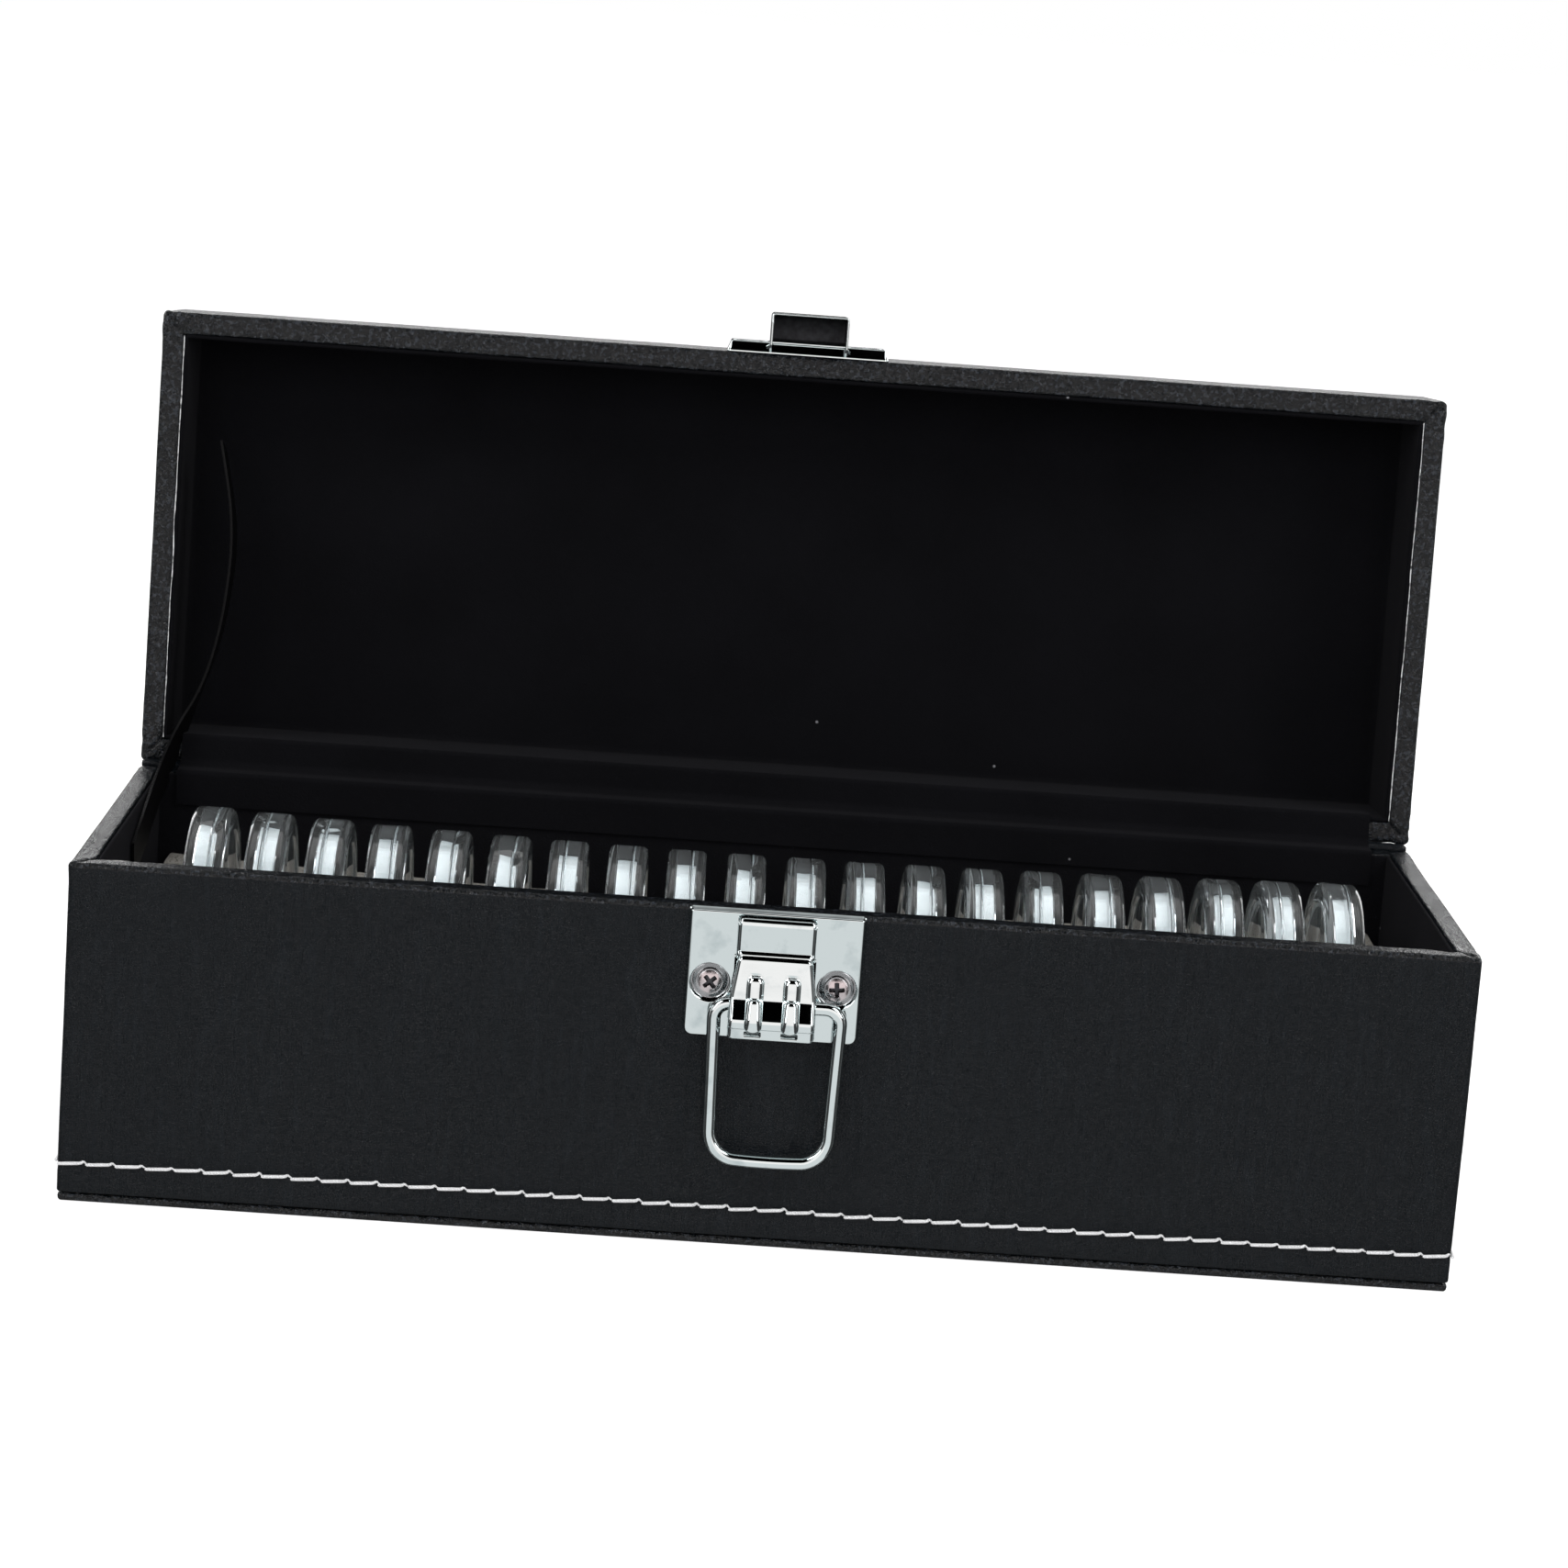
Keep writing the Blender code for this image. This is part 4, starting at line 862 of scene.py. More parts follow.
def stamp_pan(name, foot, top, foot_round, top_round, dish_height, stand):
    """A stamped pan with a drafted, rounded edge and two screw dishes, hollow at the back."""
    shape = bmesh.new()
    half, face = PLATE_WIDTH / 2, -HALF_DEPTH

    def row(points, out):
        return [shape.verts.new((x, face - out, z)) for x, z in points]

    def edge_row(inset, out):
        return row(pan_loop(half, foot, top, foot_round, top_round, inset), out)

    bend, upright, draft = 0.0004, 0.00025, 0.40
    drawn_in = draft * (stand - bend - upright)
    walls = [(0.0, 0.0), (0.0, upright), (0.00006, upright + 0.0001), (drawn_in, stand - bend)]
    walls += [(drawn_in + bend * (1 - c), stand - bend + bend * s) for c, s in turns(0, 90, 6)[1:]]
    outer = [edge_row(inset, out) for inset, out in walls]
    back = stand - PLATE_SHEET
    inner = [edge_row(inset, out) for inset, out in ((0.0008, 0.0), (0.0009, 0.0008), (0.0018, back))]
    join_rows(shape, outer)
    join_rows(shape, inner)
    join_rows(shape, [outer[0], inner[0]])
    # The dish from its lip down to the screw's hole, and back behind the sheet
    sunk = [(0.0048, 0.0), (0.00466, 0.00004), (0.00450, 0.00014), (0.00434, 0.00030), (0.0039, 0.00074),
            (0.0034, 0.00122), (0.0030, 0.00160), (0.0016, 0.00160)]
    dish = [(radius, stand - deep) for radius, deep in sunk]
    dish += [(0.0016, stand - 0.0019), (0.0036, stand - 0.0019), (0.0046, stand - 0.0015), (0.0052, back)]
    fronts, backs = [outer[-1]], [inner[-1]]
    for side in (-1, 1):
        rings = [row(circle(side * SCREW_SPACING / 2, dish_height, radius), out) for radius, out in dish]
        join_rows(shape, rings)
        fronts.append(rings[0])
        backs.append(rings[-1])
    fill_face(shape, *fronts)
    fill_face(shape, *backs)
    return finish_mesh(name, shape, CHROME, sharp=math.radians(45), flat_faces=True)


plate = stamp_pan("latch_plate_pan", BODY_RIM - PLATE_HEIGHT, BODY_RIM, foot_round=0.0024,
                  top_round=0.0011, dish_height=BODY_RIM - SCREW_DOWN, stand=PLATE_STAND)
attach(plate, "case")
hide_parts("latch_plate")


# Latch tongue
# A spring tongue bent from 0.6 mm chromed sheet: a hooked lip, a flat panel, a slanting lever
# with two pressed ribs, a barrel band over the ring's bar, and a skirt with two windows.

TONGUE_SHEET = 0.0006
RIB_SPACING, RIB_HALF, RIB_STAND, BULB_STAND = 0.0083, 0.0018, 0.0012, 0.0010
SIDE_BEND = 0.0010
SIDE_FLANGE = 0.0004

# The bent sheet's path and its bends, from the lip down: how far out from the wall, and how far
# below the rim; then the width at each distance below the rim
TONGUE_PATH = [(0.0041, 0.0018), (0.00455, 0.0014), (0.0050, 0.0024), (0.0050, 0.0088), (0.0056, 0.0094),
               (0.0057, 0.0098), (0.0063, 0.0104), (0.0071, 0.0193), (0.0095, 0.0239), (0.0095, 0.0253),
               (0.0091, 0.0257), (0.0091, 0.0279), (0.0026, 0.0289), (0.0026, 0.0297)]
TONGUE_ROUND = [0.0, 0.0003, 0.0005, 0.0002, 0.0001, 0.0002, 0.0004, 0.0006, 0.0005, 0.0003, 0.0003, 0.0004,
                0.0004, 0.0]
TONGUE_WIDTHS = [(0.0, 0.0172), (0.0090, 0.0172), (0.0099, 0.0164), (0.0193, 0.0190),
                 (0.0300, 0.0190)]
CREST_OUT, BAND_FOOT, SKIRT_OUT = 0.0088, 0.0256, 0.0091


def soften(points, rounds, step):
    """A line through points with its corners rounded and its runs cut into short steps."""
    line = [Vector(points[0])]
    for i in range(1, len(points)):
        corner = Vector(points[i])
        before = Vector(points[i - 1]) - corner
        if i == len(points) - 1:
            target = [corner]
        else:
            after = Vector(points[i + 1]) - corner
            reach = min(rounds[i], 0.48 * before.length, 0.48 * after.length)
            start, end = corner + before.normalized() * reach, corner + after.normalized() * reach
            target = [start * (1 - t) ** 2 + corner * 2 * t * (1 - t) + end * t * t
                      for t in spread(0.0, 1.0, 6)]
        run = target[0] - line[-1]
        count = max(1, math.ceil(run.length / step))
        line += [line[-1] + run * (k / count) for k in range(1, count)]
        line += target
    return line


def between(table, key):
    """A value read off a table of (key, value) pairs."""
    for (key_a, value_a), (key_b, value_b) in zip(table, table[1:]):
        if key_a <= key <= key_b:
            return value_a + (value_b - value_a) * (key - key_a) / (key_b - key_a)
    return table[-1][1]


def smooth_step(value):
    """From 0 to 1 with both ends eased."""
    value = min(1.0, max(0.0, value))
    return value * value * (3 - 2 * value)


def build_tongue():
    """The bent sheet with its ribs and windows, the sides turned back all the way down."""
    window_half, window_top, window_foot, margin = 0.0019, 0.02625, 0.02735, 0.0002
    path_step, lip_length, flat_margin = 0.0004, 0.004, 0.0003
    bulb_rate, bulb_start, bulb_fade = 4.0, 0.3, 1.15
    rib_start, band_start, band_end = 0.0138, 0.0193, 0.0253
    path = soften(TONGUE_PATH, TONGUE_ROUND, path_step)
    path = [p for p in path if not (p.x > CREST_OUT and window_top - margin < p.y < window_foot + margin)]
    skirt = next(i for i, p in enumerate(path) if p.y > BAND_FOOT and p.x > CREST_OUT
                 and path[i + 1].y > window_foot)
    path[skirt + 1:skirt + 1] = [Vector((SKIRT_OUT, down)) for down in spread(window_top, window_foot, 3)]
    lengths = [0.0]
    for one, two in zip(path, path[1:]):
        lengths.append(lengths[-1] + (two - one).length)

    def length_at(down):
        """The length along the sheet where it first gets that far below the rim, past the lip."""
        return next(s for s, p in zip(lengths, path) if s > lip_length and p.y >= down)

    rib_top, band_top = length_at(rib_start) + RIB_HALF, length_at(band_start)
    rib_foot = length_at(band_end) - TONGUE_SHEET
    ribs = [side * RIB_SPACING / 2 for side in (-1, 1)]
    # Columns between and beside the ribs, over each rib, and at its edges and its window's
    columns = {-0.0066, -0.0012, 0.0, 0.0012, 0.0066}
    for rib in ribs:
        columns |= {round(rib + RIB_HALF * math.sin(t), 6) for t in spread(-math.pi / 2, math.pi / 2, 14)}
        columns |= {round(rib + reach * k, 6) for k in (-1, 1) for reach in (window_half, RIB_HALF + margin)}
    columns = sorted(columns)
    shape = bmesh.new()
    rows = []
    for i, (point, s) in enumerate(zip(path, lengths)):
        ahead = path[min(i + 1, len(path) - 1)] - path[max(i - 1, 0)]
        ahead.normalize()
        face = Vector((ahead.y, -ahead.x))
        half = between(TONGUE_WIDTHS, point.y) / 2
        row = []
        edge = [(-half, SIDE_FLANGE + SIDE_BEND)]
        edge += [(-half + SIDE_BEND * (1 - c), SIDE_BEND * (1 - k)) for c, k in turns(0, 90, 4)]
        edge.append((-half + SIDE_BEND + flat_margin, 0.0))
        flat = [(x, 0.0) for x in columns if abs(x) < half - SIDE_BEND - flat_margin]
        section = edge + flat + [(-x, back) for x, back in reversed(edge)]
        for x, back in section:
            lift = 0.0
            for rib in ribs:
                off = max(0.0, rib_top - s) if s < rib_top else max(0.0, s - rib_foot)
                near = ((x - rib) ** 2 + off ** 2) / RIB_HALF ** 2
                if near < 1.0:
                    along = (s - band_top) / (rib_foot - band_top)
                    bulb = smooth_step(bulb_rate * along + bulb_start) * min(1.0, bulb_fade - along)
                    lift = (RIB_STAND + BULB_STAND * bulb) * (1.0 - near) ** 0.5
            shown = point + face * (lift - back)
            row.append(shape.verts.new((x, -HALF_DEPTH - shown.x, BODY_RIM - shown.y)))
        rows.append(row)
    join_rows(shape, rows, closed=False)
    holes = []
    for piece in shape.faces:
        centre = piece.calc_center_median()
        down = BODY_RIM - centre.z
        if (window_top < down < window_foot and centre.y < -HALF_DEPTH - CREST_OUT + margin
                and any(abs(centre.x - rib) < window_half for rib in ribs)):
            holes.append(piece)
    bmesh.ops.delete(shape, geom=holes, context="FACES")
    for face in shape.faces:
        face.normal_update()
    tongue = finish_mesh("latch_tongue_sheet", shape, CHROME, sharp=math.radians(50))
    sheet = tongue.modifiers.new("sheet", "SOLIDIFY")
    sheet.thickness = TONGUE_SHEET
    sheet.offset = 0.0
    return tongue


BAR_OUT, BAR_DOWN = 0.0048, 0.0210


def build_ears():
    """Two ears behind the band, each with a hole that the ring's bar turns in."""
    hole_radius, inner, outer = 0.00175, 0.0086, 0.0092
    points = [(0.0024, 0.0104), (0.0044, 0.0104), (0.0052, 0.0112), (0.0067, 0.0193), (0.0091, 0.0239),
              (0.0091, 0.0249), (0.0024, 0.0249)]
    shape = bmesh.new()
    for side in (-1, 1):
        sheets = []
        for x in (side * inner, side * outer):
            sheets.append([[shape.verts.new((x, -HALF_DEPTH - out, BODY_RIM - down)) for out, down in loop]
                           for loop in (points, circle(BAR_OUT, BAR_DOWN, hole_radius, 24))])
            fill_face(shape, *sheets[-1])
        for one, two in zip(*sheets):
            join_rows(shape, [one, two])
    return finish_mesh("latch_tongue_ears", shape, CHROME)


tongue, ears = build_tongue(), build_ears()
for piece in (tongue, ears):
    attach(piece, "latch_tongue")
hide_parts("latch_tongue")


# Bail ring
# 3.2 mm chromed wire bent into a ring with soft corners, a little narrower at its foot. Its top
# bar turns in the tongue's ears, so the ring hangs in front of the body and swings up.

WIRE_RADIUS = 0.0016
BAIL_HALF, BAIL_DROP, BAIL_SHIFT = 0.0143, 0.0361, 0.0013
FOOT_SHARE, FOOT_BOW = 0.930, 0.0006


def build_bail():
    """The wire's closed loop, swept round its bent path."""
    top_round, foot_round, bow_from, bow_rate = 0.0035, 0.0060, 0.8, 5
    outline = []
    for x, z, radius, start in ((BAIL_HALF, -BAIL_DROP, foot_round, -90), (BAIL_HALF, 0.0, top_round, 0),
                                (-BAIL_HALF, 0.0, top_round, 90), (-BAIL_HALF, -BAIL_DROP, foot_round, 180)):
        centre = (x - math.copysign(radius, x), z + (radius if z < 0 else -radius))
        outline += arc(centre, radius, start, start + 90, 10)
    straight = spread(foot_round - BAIL_HALF, BAIL_HALF - foot_round, 8)[1:-1]
    path = []
    for x, z in outline + [(x, -BAIL_DROP) for x in straight]:
        hung = -z / BAIL_DROP
        bow = FOOT_BOW * max(0.0, hung - bow_from) * bow_rate * (1 - (x / BAIL_HALF) ** 2)
        path.append(Vector((x * (1 - (1 - FOOT_SHARE) * hung ** 2) + BAIL_SHIFT, 0.0, z - bow)))
    shape = bmesh.new()
    rows = []
    for i, point in enumerate(path):
        ahead = (path[(i + 1) % len(path)] - path[i - 1]).normalized()
        across = ahead.cross(Vector((0.0, 1.0, 0.0)))
        centre = point + Vector((0.0, -HALF_DEPTH - BAR_OUT, BODY_RIM - BAR_DOWN))
        rows.append([shape.verts.new(centre + (across * math.cos(a) + Vector((0, 1, 0)) * math.sin(a))
                                     * WIRE_RADIUS) for a in around(24)])
    join_rows(shape, rows + rows[:1])
    return finish_mesh("latch_bail_wire", shape, CHROME)


bail = build_bail()
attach(bail, "latch_bail")
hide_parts("latch_bail")


# Latch screws
# Nickel-plated pan-head wood screws with a cross recess, sunk in the plate's two dishes and
# driven into the board behind.

SCREW_RADIUS = 0.00275


def make_nickel():
    """Nickel-plated screw steel: warmer and duller than the chrome, with marks from the driver."""
    material, tree, shader, place = start_material("nickel_plated_steel", {"Metallic": 1.0})
    mark_length, mark_depth = 0.0009, 0.00004
    mark = add_noise(tree, place, mark_length, 4.0)
    tint(tree, shader, mark, "#A79FA1", "#CFC8CA")
    vary_gloss(tree, shader, mark, 0.35, 0.65, 0.16, 0.30)
    emboss(tree, shader, (mark, mark_depth))
    return material


def make_recess_shade():
    """Painted shade for recesses and under hoods: steel painted a dull, mottled dark grey."""
    material, tree, shader, place = start_material(
        "steel_painted_with_recess_shade", {"Metallic": 1.0, "Roughness": 0.5})
    mottle_length = 0.0015
    # Dark grey mottling: painted shade, not a stain
    tint(tree, shader, add_noise(tree, place, mottle_length, 5.0), "#2A2A2C", "#5A5C60")
    return material


NICKEL, RECESS_SHADE = make_nickel(), make_recess_shade()


def build_screw(name, x, z, turn):
    """A screw with its head's cross pressed in; turn is where the cross points, in degrees."""
    seat, crown, dome_drop, dome_power = 0.0006, 0.0021, 0.00065, 2.4
    cross_half, cross_reach, cross_depth = 0.00050, 0.00178, 0.0013
    side_drop, shank, shank_end, point = 0.00078, 0.0014, 0.0030, 0.0038
    rings, steps = 34, 120
    angle = math.radians(turn)
    shape = bmesh.new()
    pressed_in = shape.verts.layers.float.new("pressed_in")
    rows = []
    for radius in spread(0.0, SCREW_RADIUS - 0.0001, rings):
        row = []
        for u, v in circle(0.0, 0.0, radius, steps if radius else 1):
            along = abs(u * math.cos(angle) + v * math.sin(angle))
            across = abs(v * math.cos(angle) - u * math.sin(angle))
            slot = (smooth_step((cross_half - min(along, across)) / 0.00016)
                    * smooth_step((cross_reach - max(along, across)) / 0.0003))
            dome = dome_drop * (radius / SCREW_RADIUS) ** dome_power
            vert = shape.verts.new((x + u, -HALF_DEPTH - (crown - dome - cross_depth * slot), z + v))
            vert[pressed_in] = slot
            row.append(vert)
        rows.append(row)
    for radius, out in ((SCREW_RADIUS, crown - side_drop), (SCREW_RADIUS, seat), (shank, seat),
                        (shank, -shank_end)):
        rows.append([shape.verts.new((u, -HALF_DEPTH - out, v)) for u, v in circle(x, z, radius, steps)])
    rows.append([shape.verts.new((x, -HALF_DEPTH + point, z))])
    for face in join_turned(shape, rows):
        # Faces deep in the cross recess take the painted recess shade
        face.material_index = int(all(vert[pressed_in] > 0.25 for vert in face.verts))
    screw = finish_mesh(name, shape, NICKEL, sharp=math.radians(60))
    screw.data.materials.append(RECESS_SHADE)
    return screw


for side, name, turn in ((-1, "left", 41), (1, "right", 4)):
    screw = build_screw(f"latch_screw_{name}_head", side * SCREW_SPACING / 2, BODY_RIM - SCREW_DOWN, turn)
    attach(screw, "case")
    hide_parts(f"latch_screw_{name}")


# Lid catch
# The latch's other half on the lid: a matching stamped pan, a hump that reaches down past
# the rim over the tongue, and a bar across the hump that snaps behind the tongue's lip.

CATCH_FOOT = LID_RIM + 0.0004
CATCH_TOP = CATCH_FOOT + 0.0220
HUMP_HALF, HUMP_STAND, HUMP_WALL = 0.0096, 0.0102, 0.0005
CATCH_STAND = 0.0027


def build_hump():
    """A pressed hood, open at its mouth and at the back, with a flared root on the pan."""
    mouth, crown = LID_RIM - 0.0066, LID_RIM + 0.0130
    crown_round, edge_round, least_wall, bend_share, gap = 0.0030, 0.0008, 0.0003, 0.45, 0.0001
    heights = spread(mouth, CATCH_FOOT - gap, 6) + spread(CATCH_FOOT + gap, crown - crown_round, 8)
    heights += [crown - crown_round + crown_round * s for _, s in turns(0, 90, 7)[1:]]
    shape = bmesh.new()
    rows = []
    for z in heights:
        hangs = z < CATCH_FOOT
        root, flare = (0.0023, 0.0003) if hangs else (0.0018, 0.0009)
        rise = max(0.0, (z - crown + crown_round) / crown_round)
        stand = root + least_wall
        stand += (HUMP_STAND - root - least_wall) * math.sqrt(max(0.0, 1 - rise ** 2))
        bend = min(edge_round, (stand - root) * bend_share)
        flare = min(flare, (stand - root) * bend_share)
        side = [(-HUMP_HALF - (not hangs) * flare * (1 - s), root + flare * (1 - c))
                for c, s in turns(0, 90, 4)]
        cell_walls_over_pore_shade = [(-HUMP_HALF, w) for w in spread(root + flare, stand - bend, 4)[1:]]
        top = [(-HUMP_HALF + bend * (1 - c), stand - bend * (1 - s)) for c, s in turns(0, 90, 5)[1:]]
        left = side + cell_walls_over_pore_shade + top
        across = [(x, stand) for x in spread(-HUMP_HALF + bend, HUMP_HALF - bend, 12)[1:-1]]
        section = left + across + [(-x, out) for x, out in reversed(left)]
        rows.append([shape.verts.new((x, -HALF_DEPTH - out, z)) for x, out in section])
    join_rows(shape, rows, closed=False)
    hump = finish_mesh("catch_hump_hood", shape, CHROME, sharp=math.radians(50))
    sheet = hump.modifiers.new("sheet", "SOLIDIFY")
    sheet.thickness = HUMP_WALL
    sheet.offset = -1.0
    # The hood's inside takes the painted shade; its outside and edges keep the chrome
    hump.data.materials.append(RECESS_SHADE)
    sheet.material_offset = 1
    sheet.material_offset_rim = 0
    return hump


def build_bar():
    """The snap bar across the hump's mouth, a folded strip with rounded edges."""
    shape = bmesh.new()
    half, out, thick, high = 0.0092, 0.0024, 0.0009, 0.0016
    foot = LID_RIM - 0.0027 - high
    bend, lean = 0.0003, math.radians(14)
    section = []
    for y, z, start in ((out + thick, foot + high, 0), (out, foot + high, 90), (out, foot, 180),
                        (out + thick, foot, 270)):
        centre = (y - bend if y > out else y + bend, z - bend if z > foot else z + bend)
        section += arc(centre, bend, start, start + 90, 4)
    middle = Vector((out + thick / 2, foot + high / 2))
    leaning = [middle + Matrix.Rotation(lean, 2) @ (Vector(point) - middle) for point in section]
    rows = [[shape.verts.new((x, -HALF_DEPTH - p.x, p.y)) for p in leaning] for x in spread(-half, half, 24)]
    join_rows(shape, rows, capped=True)
    return finish_mesh("catch_snap_bar", shape, CHROME, sharp=math.radians(50), flat_faces=True)


catch_height = LID_RIM + 0.0120
catch_pieces = [stamp_pan("catch_pan", CATCH_FOOT, CATCH_TOP, foot_round=0.0011, top_round=0.0024,
                          dish_height=catch_height, stand=CATCH_STAND), build_hump(), build_bar()]
catch_pieces += [build_screw(f"catch_screw_{name}", side * SCREW_SPACING / 2, catch_height, turn)
                 for side, name, turn in ((-1, "left", 20), (1, "right", 67))]
for piece in catch_pieces:
    piece.data.transform(OPENED)
    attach(piece, "lid")
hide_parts("lid_catch")


# Cloth hinge
# The cover's leatherette runs over a rolled bead along the back, which is the hinge. Inside,
# a strip of the lining's velvet is glued from the body's back wall to the lid's.

BEAD_RADIUS, BEAD_REACH = 0.00115, 0.1594
PADDED_RADIUS = 0.00134
FLAP_THICKNESS = 0.0005


def build_bead():
    """The rolled bead, puckered a little by the glue, its ends tucked in."""
    shape = bmesh.new()
    points, radii = [], []
    pucker_length, pucker_depth, gather_pitch, gather_depth = 0.006, 0.00005, 0.0016, 0.00009
    gather_from, gather_over, tucked = 0.150, 0.006, 0.001
    for x in spread(-BEAD_REACH, BEAD_REACH, 320):
        gathered = smooth_step((abs(x) - gather_from) / gather_over)
        pucker = pucker_depth * noise.noise(Vector((x / pucker_length, 0.3, 0.0)))
        pucker += gathered * gather_depth * math.sin(x / gather_pitch * 2 * math.pi)
        tuck = 0.5 + 0.5 * math.sqrt(1 - max(0.0, (abs(x) - BEAD_REACH + tucked) / tucked) ** 2)
        points.append(Vector((x, HINGE.y, HINGE.z)))
        radii.append((PADDED_RADIUS + pucker) * tuck)
    add_tube(shape, points, radii, 20)
    return finish_mesh("hinge_rolled_bead", shape, LEATHERETTE, sharp=math.radians(60))


def lid_spot(y, z):
    """Where a spot of the closed lid's back wall lies with the lid open."""
    return OPENED @ Vector((0.0, y, z))


def build_strip(name, line, half_widths, thickness, columns, material):
    """A strip of cloth along a line, with real thickness and its half width as a vector at each point."""
    shape = bmesh.new()
    faces = []
    for side in (-0.5, 0.5):
        rows = []
        for i, (point, across) in enumerate(zip(line, half_widths)):
            ahead = line[min(i + 1, len(line) - 1)] - line[max(i - 1, 0)]
            normal = ahead.cross(across).normalized()
            rows.append([shape.verts.new(point + across * share + normal * thickness * side)
                         for share in spread(-1.0, 1.0, columns)])
        faces.append(rows)
        join_rows(shape, rows, closed=False)
    front, back = faces
    borders = [([r[0] for r in front], [r[0] for r in back]), ([r[-1] for r in front], [r[-1] for r in back]),
               (front[0], back[0]), (front[-1], back[-1])]
    for one, two in borders:
        join_rows(shape, [one, two], closed=False)
    return finish_mesh(name, shape, material, sharp=math.radians(60))


def length_of(line):
    """How long a line of points is."""
    return sum((b - a).length for a, b in zip(line, line[1:]))


def build_flap():
    """The velvet flap over the hinge, and how long it was cut."""
    stand = 0.0003 + FLAP_THICKNESS / 2
    cell_walls_over_pore_shade = HALF_DEPTH - WALL_THICKNESS - stand
    corners = [Vector((0, cell_walls_over_pore_shade, BODY_RIM - 0.008)), Vector((0, cell_walls_over_pore_shade, BODY_RIM)),
               Vector((0, cell_walls_over_pore_shade + FLAP_THICKNESS, BODY_RIM + stand)),
               Vector((0, HINGE.y - 0.00265, BODY_RIM + stand)),
               Vector((0, HINGE.y - stand, HINGE.z + BEAD_RADIUS + stand)),
               lid_spot(cell_walls_over_pore_shade + FLAP_THICKNESS, LID_RIM - stand), lid_spot(cell_walls_over_pore_shade, LID_RIM),
               lid_spot(cell_walls_over_pore_shade, LID_RIM + 0.007)]
    rounds = [0, 0.0005, 0.0003, 0.001, 0.0008, 0.0006, 0.0005, 0]
    flat = soften([(c.y, c.z) for c in corners], rounds, 0.001)
    line = [Vector((0.0, p.x, p.y)) for p in flat]
    cut = length_of(line)
    half = HALF_LENGTH - WALL_THICKNESS - 0.004
    half_widths = [Vector((half, 0.0, 0.0))] * len(line)
    flap = build_strip("hinge_velvet_flap", line, half_widths, FLAP_THICKNESS, 90, VELVET)
    return flap, (2 * half, cut)


bead = build_bead()
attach(bead, "case")
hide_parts("hinge_bead")
flap, flap_cut = build_flap()
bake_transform(flap)
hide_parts("hinge_flap")


# Ribbon stay
# A 10 mm satin ribbon from the lid's left wall down to the body's left wall. It hangs nearly
# taut with the lid open and stops the lid just past upright.

STAY_WIDTH, STAY_THICKNESS = 0.0102, 0.0006


def make_ribbon():
    """Woven polyester satin ribbon: black with fine ribs across and a soft shine.

    The real weft is about 0.15 mm apart; it is drawn at 0.5 mm.
    """
    material, tree, shader, place = start_material("black_satin_ribbon", {"Roughness": 0.45, "IOR": 1.25})
    weft_pitch, weft_depth = 0.0005, 0.00006
    weft = add_node(tree, "TexWave", {"Vector": place, "Scale": 1 / weft_pitch / 2, "Distortion": 0.4},
                    bands_direction="Z")
    tint(tree, shader, weft.outputs[0], "#020203", "#050506")
    emboss(tree, shader, (weft.outputs[0], weft_depth))
    return material


def build_stay():
    """The ribbon from the lid's corner over the hinge along the body's wall, and its length."""
    hung = [(-0.1440, 0.0680, 0.1600), (-0.1400, 0.0625, 0.1420), (-0.1400, 0.0605, 0.1260),
            (-0.1430, 0.0600, 0.1080), (-0.1490, 0.0585, 0.0910), (-0.1520, 0.0480, 0.0815),
            (-0.1525, 0.0300, 0.0770), (-0.1525, 0.0120, 0.0725), (-0.1528, -0.0020, 0.0680)]
    spots = [Vector(spot) for spot in hung]
    line = []
    for i, (here, there) in enumerate(zip(spots, spots[1:])):
        before, after = spots[max(i - 1, 0)], spots[min(i + 2, len(spots) - 1)]
        square, cube = 2 * before - 5 * here + 4 * there - after, 3 * here - before - 3 * there + after
        for t in spread(0.0, 1.0, 6)[:-1]:
            line.append(0.5 * (2 * here + (there - before) * t + square * t ** 2 + cube * t ** 3))
    line.append(spots[-1])
    across = []
    for one, two in zip(line, line[1:]):
        across.append(Vector((0.0, one.z - two.z, two.y - one.y)).normalized() * STAY_WIDTH / 2)
    cut = length_of(line)
    stay = build_strip("stay_satin_ribbon", line, across + across[-1:], STAY_THICKNESS, 8, make_ribbon())
    return stay, (STAY_WIDTH, cut), line[0], line[-1]


stay, stay_cut, stay_top, stay_foot = build_stay()
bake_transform(stay)
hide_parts("stay_ribbon")


# Studio
# A pale floor that keeps the shadow, a white surround that is dark above the camera and at the
# sides where it is mirrored, two soft boxes, two broad lights and two strips for reflections.

def seen_directly(tree):
    """1 for rays that look at, mirror or pass to a surface, 0 for light that falls on it."""
    rays = add_node(tree, "LightPath")
    either = add_node(tree, "Math", {0: rays.outputs["Is Camera Ray"], 1: rays.outputs["Is Glossy Ray"]},
                      operation="MAXIMUM")
    return add_node(tree, "Math", {0: either.outputs[0], 1: rays.outputs["Is Transmission Ray"]},
                    operation="MAXIMUM").outputs[0]


def build_floor():
    """A wide sheet of pale paper on a table, lifted to white where it is looked at."""
    half_size, lift = 12.0, 0.68
    shape = bmesh.new()
    bmesh.ops.create_grid(shape, x_segments=1, y_segments=1, size=half_size)
    material = bpy.data.materials.new("pale_studio_paper")
    material.use_nodes = True
    tree = material.node_tree
    tree.nodes.clear()
    paper = add_node(tree, "BsdfDiffuse", {"Color": linear("#E4E4E4")})
    glow = add_node(tree, "Emission", {"Color": linear("#FFFFFF")})
    strength = add_node(tree, "Math", {0: seen_directly(tree), 1: lift}, operation="MULTIPLY")
    tree.links.new(strength.outputs[0], glow.inputs["Strength"])
    both = add_node(tree, "AddShader", {0: paper.outputs[0], 1: glow.outputs[0]})
    add_node(tree, "OutputMaterial", {"Surface": both.outputs[0]})
    floor = finish_mesh("studio_floor", shape, material)
    floor.visible_glossy = False
    return floor


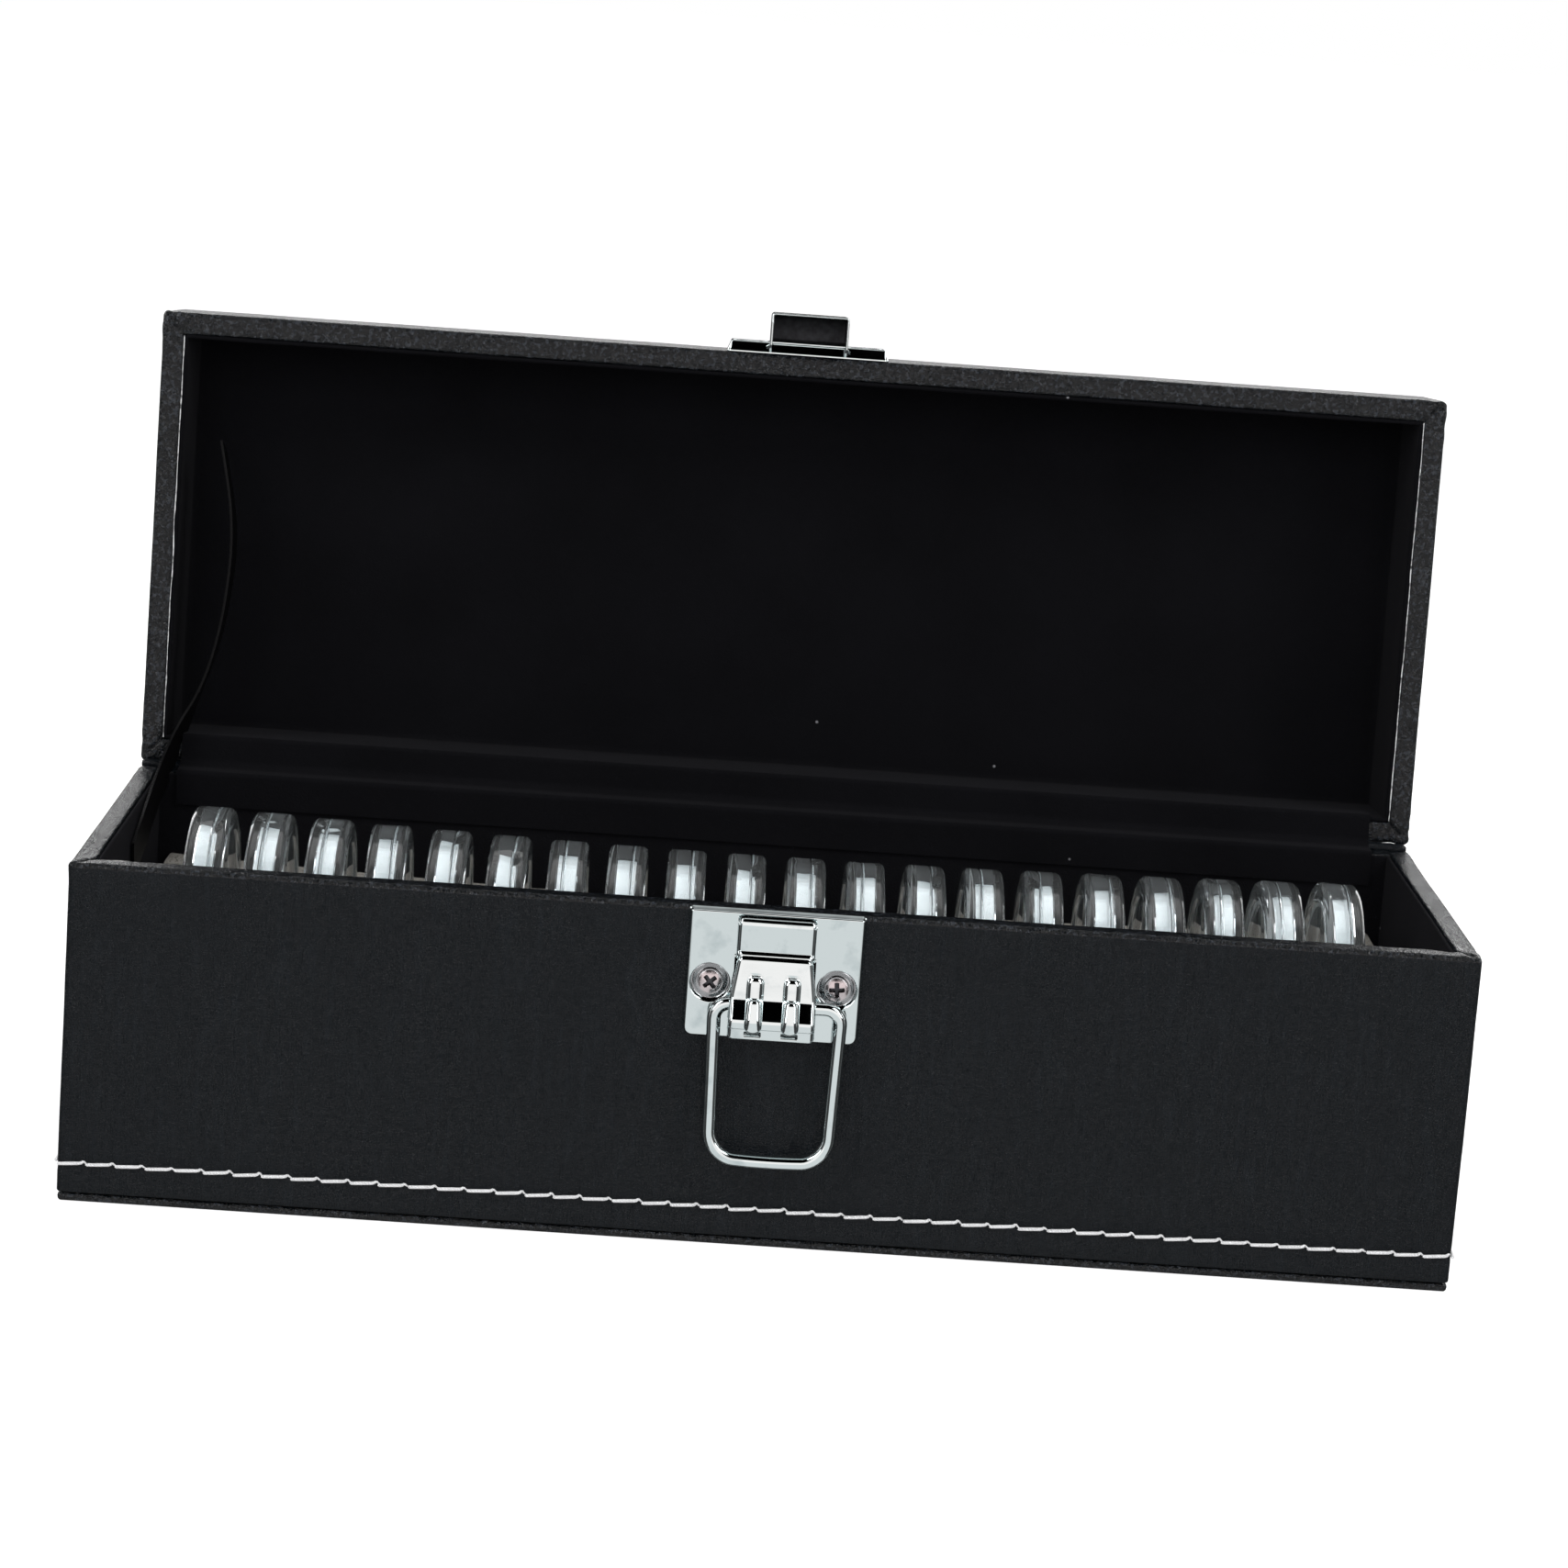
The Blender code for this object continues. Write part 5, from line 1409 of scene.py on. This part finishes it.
def build_world():
    """White all round for what is seen or mirrored, and even light on what it falls on.

    Mirrored, the room is white paper below and low in front, dark above the camera and at both
    sides, and white behind.
    """
    world = bpy.data.worlds.new("white_surround")
    bpy.context.scene.world = world
    world.use_nodes = True
    tree = world.node_tree
    tree.nodes.clear()
    way = add_node(tree, "TexCoord").outputs["Generated"]
    parts = add_node(tree, "SeparateXYZ", {0: way})
    x, y, z = (parts.outputs[i] for i in range(3))

    def ramp(value, low, high, to_low=0.0, to_high=1.0):
        return add_ramp(tree, value, low, high, to_low, to_high, "SMOOTHSTEP")

    def join(one, two, operation="MULTIPLY"):
        return add_node(tree, "Math", {0: one, 1: two}, operation=operation).outputs[0]

    # In front: white paper, a brighter low band, the dark room and a lamp right overhead
    level = join(ramp(z, -0.14, -0.06, 1.0, 1.45), ramp(z, 0.40, 0.48, 1.0, 0.0))
    level = join(level, ramp(z, 0.985, 0.998), "ADD")
    # At both sides: dark, with a faint glow right at the end
    side_x = add_node(tree, "Math", {0: x}, operation="ABSOLUTE").outputs[0]
    level = join(level, join(ramp(side_x, 0.62, 0.69, 1.0, 0.06), ramp(side_x, 0.95, 0.98, 0.0, 0.30), "ADD"))
    # Behind: dark low down, the bright backdrop, the dark room and a pale ceiling
    backdrop = join(ramp(z, 0.08, 0.14, 0.1, 3.0), ramp(z, 0.42, 0.50, 1.0, 0.08))
    backdrop = join(backdrop, ramp(z, 0.80, 0.88, 0.0, 0.8), "ADD")
    front, back = ramp(y, 0.05, -0.15), ramp(y, -0.15, 0.05)
    room = join(join(front, level), join(back, backdrop), "ADD")
    rays = add_node(tree, "LightPath")
    mirror = join(rays.outputs["Is Glossy Ray"], room)
    look = join(rays.outputs["Is Camera Ray"], rays.outputs["Is Transmission Ray"], "MAXIMUM")
    fall = ramp(seen_directly(tree), 0.0, 1.0, 0.42, 0.0)
    total = join(join(mirror, look, "ADD"), fall, "ADD")
    warmth = join(front, join(mirror, ramp(z, -0.14, -0.06)))
    colour = mix_tones(tree, warmth, linear("#FFFFFF"), linear("#FFF6F4"))
    glow = add_node(tree, "Background", {"Color": colour, "Strength": total})
    add_node(tree, "OutputWorld", {"Surface": glow.outputs[0]})


def add_softbox(name, place, aim, size, power):
    """A rectangular lamp turned towards its aim."""
    lamp = bpy.data.lights.new(name, "AREA")
    lamp.shape = "RECTANGLE"
    lamp.size, lamp.size_y = size
    lamp.energy = power
    box = bpy.data.objects.new(name, lamp)
    bpy.context.scene.collection.objects.link(box)
    box.location = place
    box.rotation_euler = (Vector(aim) - Vector(place)).to_track_quat("-Z", "Y").to_euler()
    return box


build_floor()
build_world()
LOW_AIM = (0.0, 0.0, 0.06)
# Each lamp's place, aim, width and height, and watts
LAMPS = {"softbox_left": ((-0.95, -0.75, 1.15), LOW_AIM, (0.5, 0.5), 4.8),
         "softbox_right": ((0.95, -0.75, 1.15), LOW_AIM, (0.5, 0.5), 4.8),
         "softbox_overhead": ((0.0, 0.25, 1.5), (0.0, 0.0, 0.0), (1.4, 0.9), 6.2),
         "softbox_front": ((0.0, -1.7, 0.8), LOW_AIM, (1.4, 0.8), 13.0),
         "strip_left": ((-1.05, -0.80, 0.70), (0.0, 0.0, 0.10), (0.35, 0.9), 4.0),
         "strip_right": ((1.05, -0.80, 0.70), (0.0, 0.0, 0.10), (0.35, 0.9), 4.0)}
for name, (place, aim, size, power) in LAMPS.items():
    lamp = add_softbox(name, place, aim, size, power)
    lamp.visible_glossy = name not in ("softbox_overhead", "softbox_front")
    lamp.visible_diffuse = not name.startswith("strip")


# Camera
# Where the photograph was taken from: nearly level, a little to the left, leaning sideways.

def build_camera():
    """The camera fitted to the photograph's box corners."""
    yaw, pitch, roll = math.radians(1.268), math.radians(11.502), math.radians(-4.181)
    focal_pixels, photo_pixels, place = 4612.3, 1708, (-0.02148, -0.98589, 0.29786)
    ahead = Vector((math.sin(yaw) * math.cos(pitch), math.cos(yaw) * math.cos(pitch), -math.sin(pitch)))
    right = Vector((math.cos(yaw), -math.sin(yaw), 0.0))
    up = right.cross(ahead)
    leaning_right = right * math.cos(roll) - up * math.sin(roll)
    leaning_up = right * math.sin(roll) + up * math.cos(roll)
    camera = bpy.data.cameras.new("photo_camera")
    camera.sensor_width = 36.0
    camera.lens = focal_pixels / photo_pixels * camera.sensor_width
    camera.clip_start, camera.clip_end = 0.05, 60.0
    seat = bpy.data.objects.new("photo_camera", camera)
    bpy.context.scene.collection.objects.link(seat)
    turn = Matrix((leaning_right, leaning_up, -ahead)).transposed().to_4x4()
    seat.matrix_world = Matrix.Translation(place) @ turn
    bpy.context.scene.camera = seat


build_camera()
bpy.context.scene.view_settings.view_transform = "Standard"
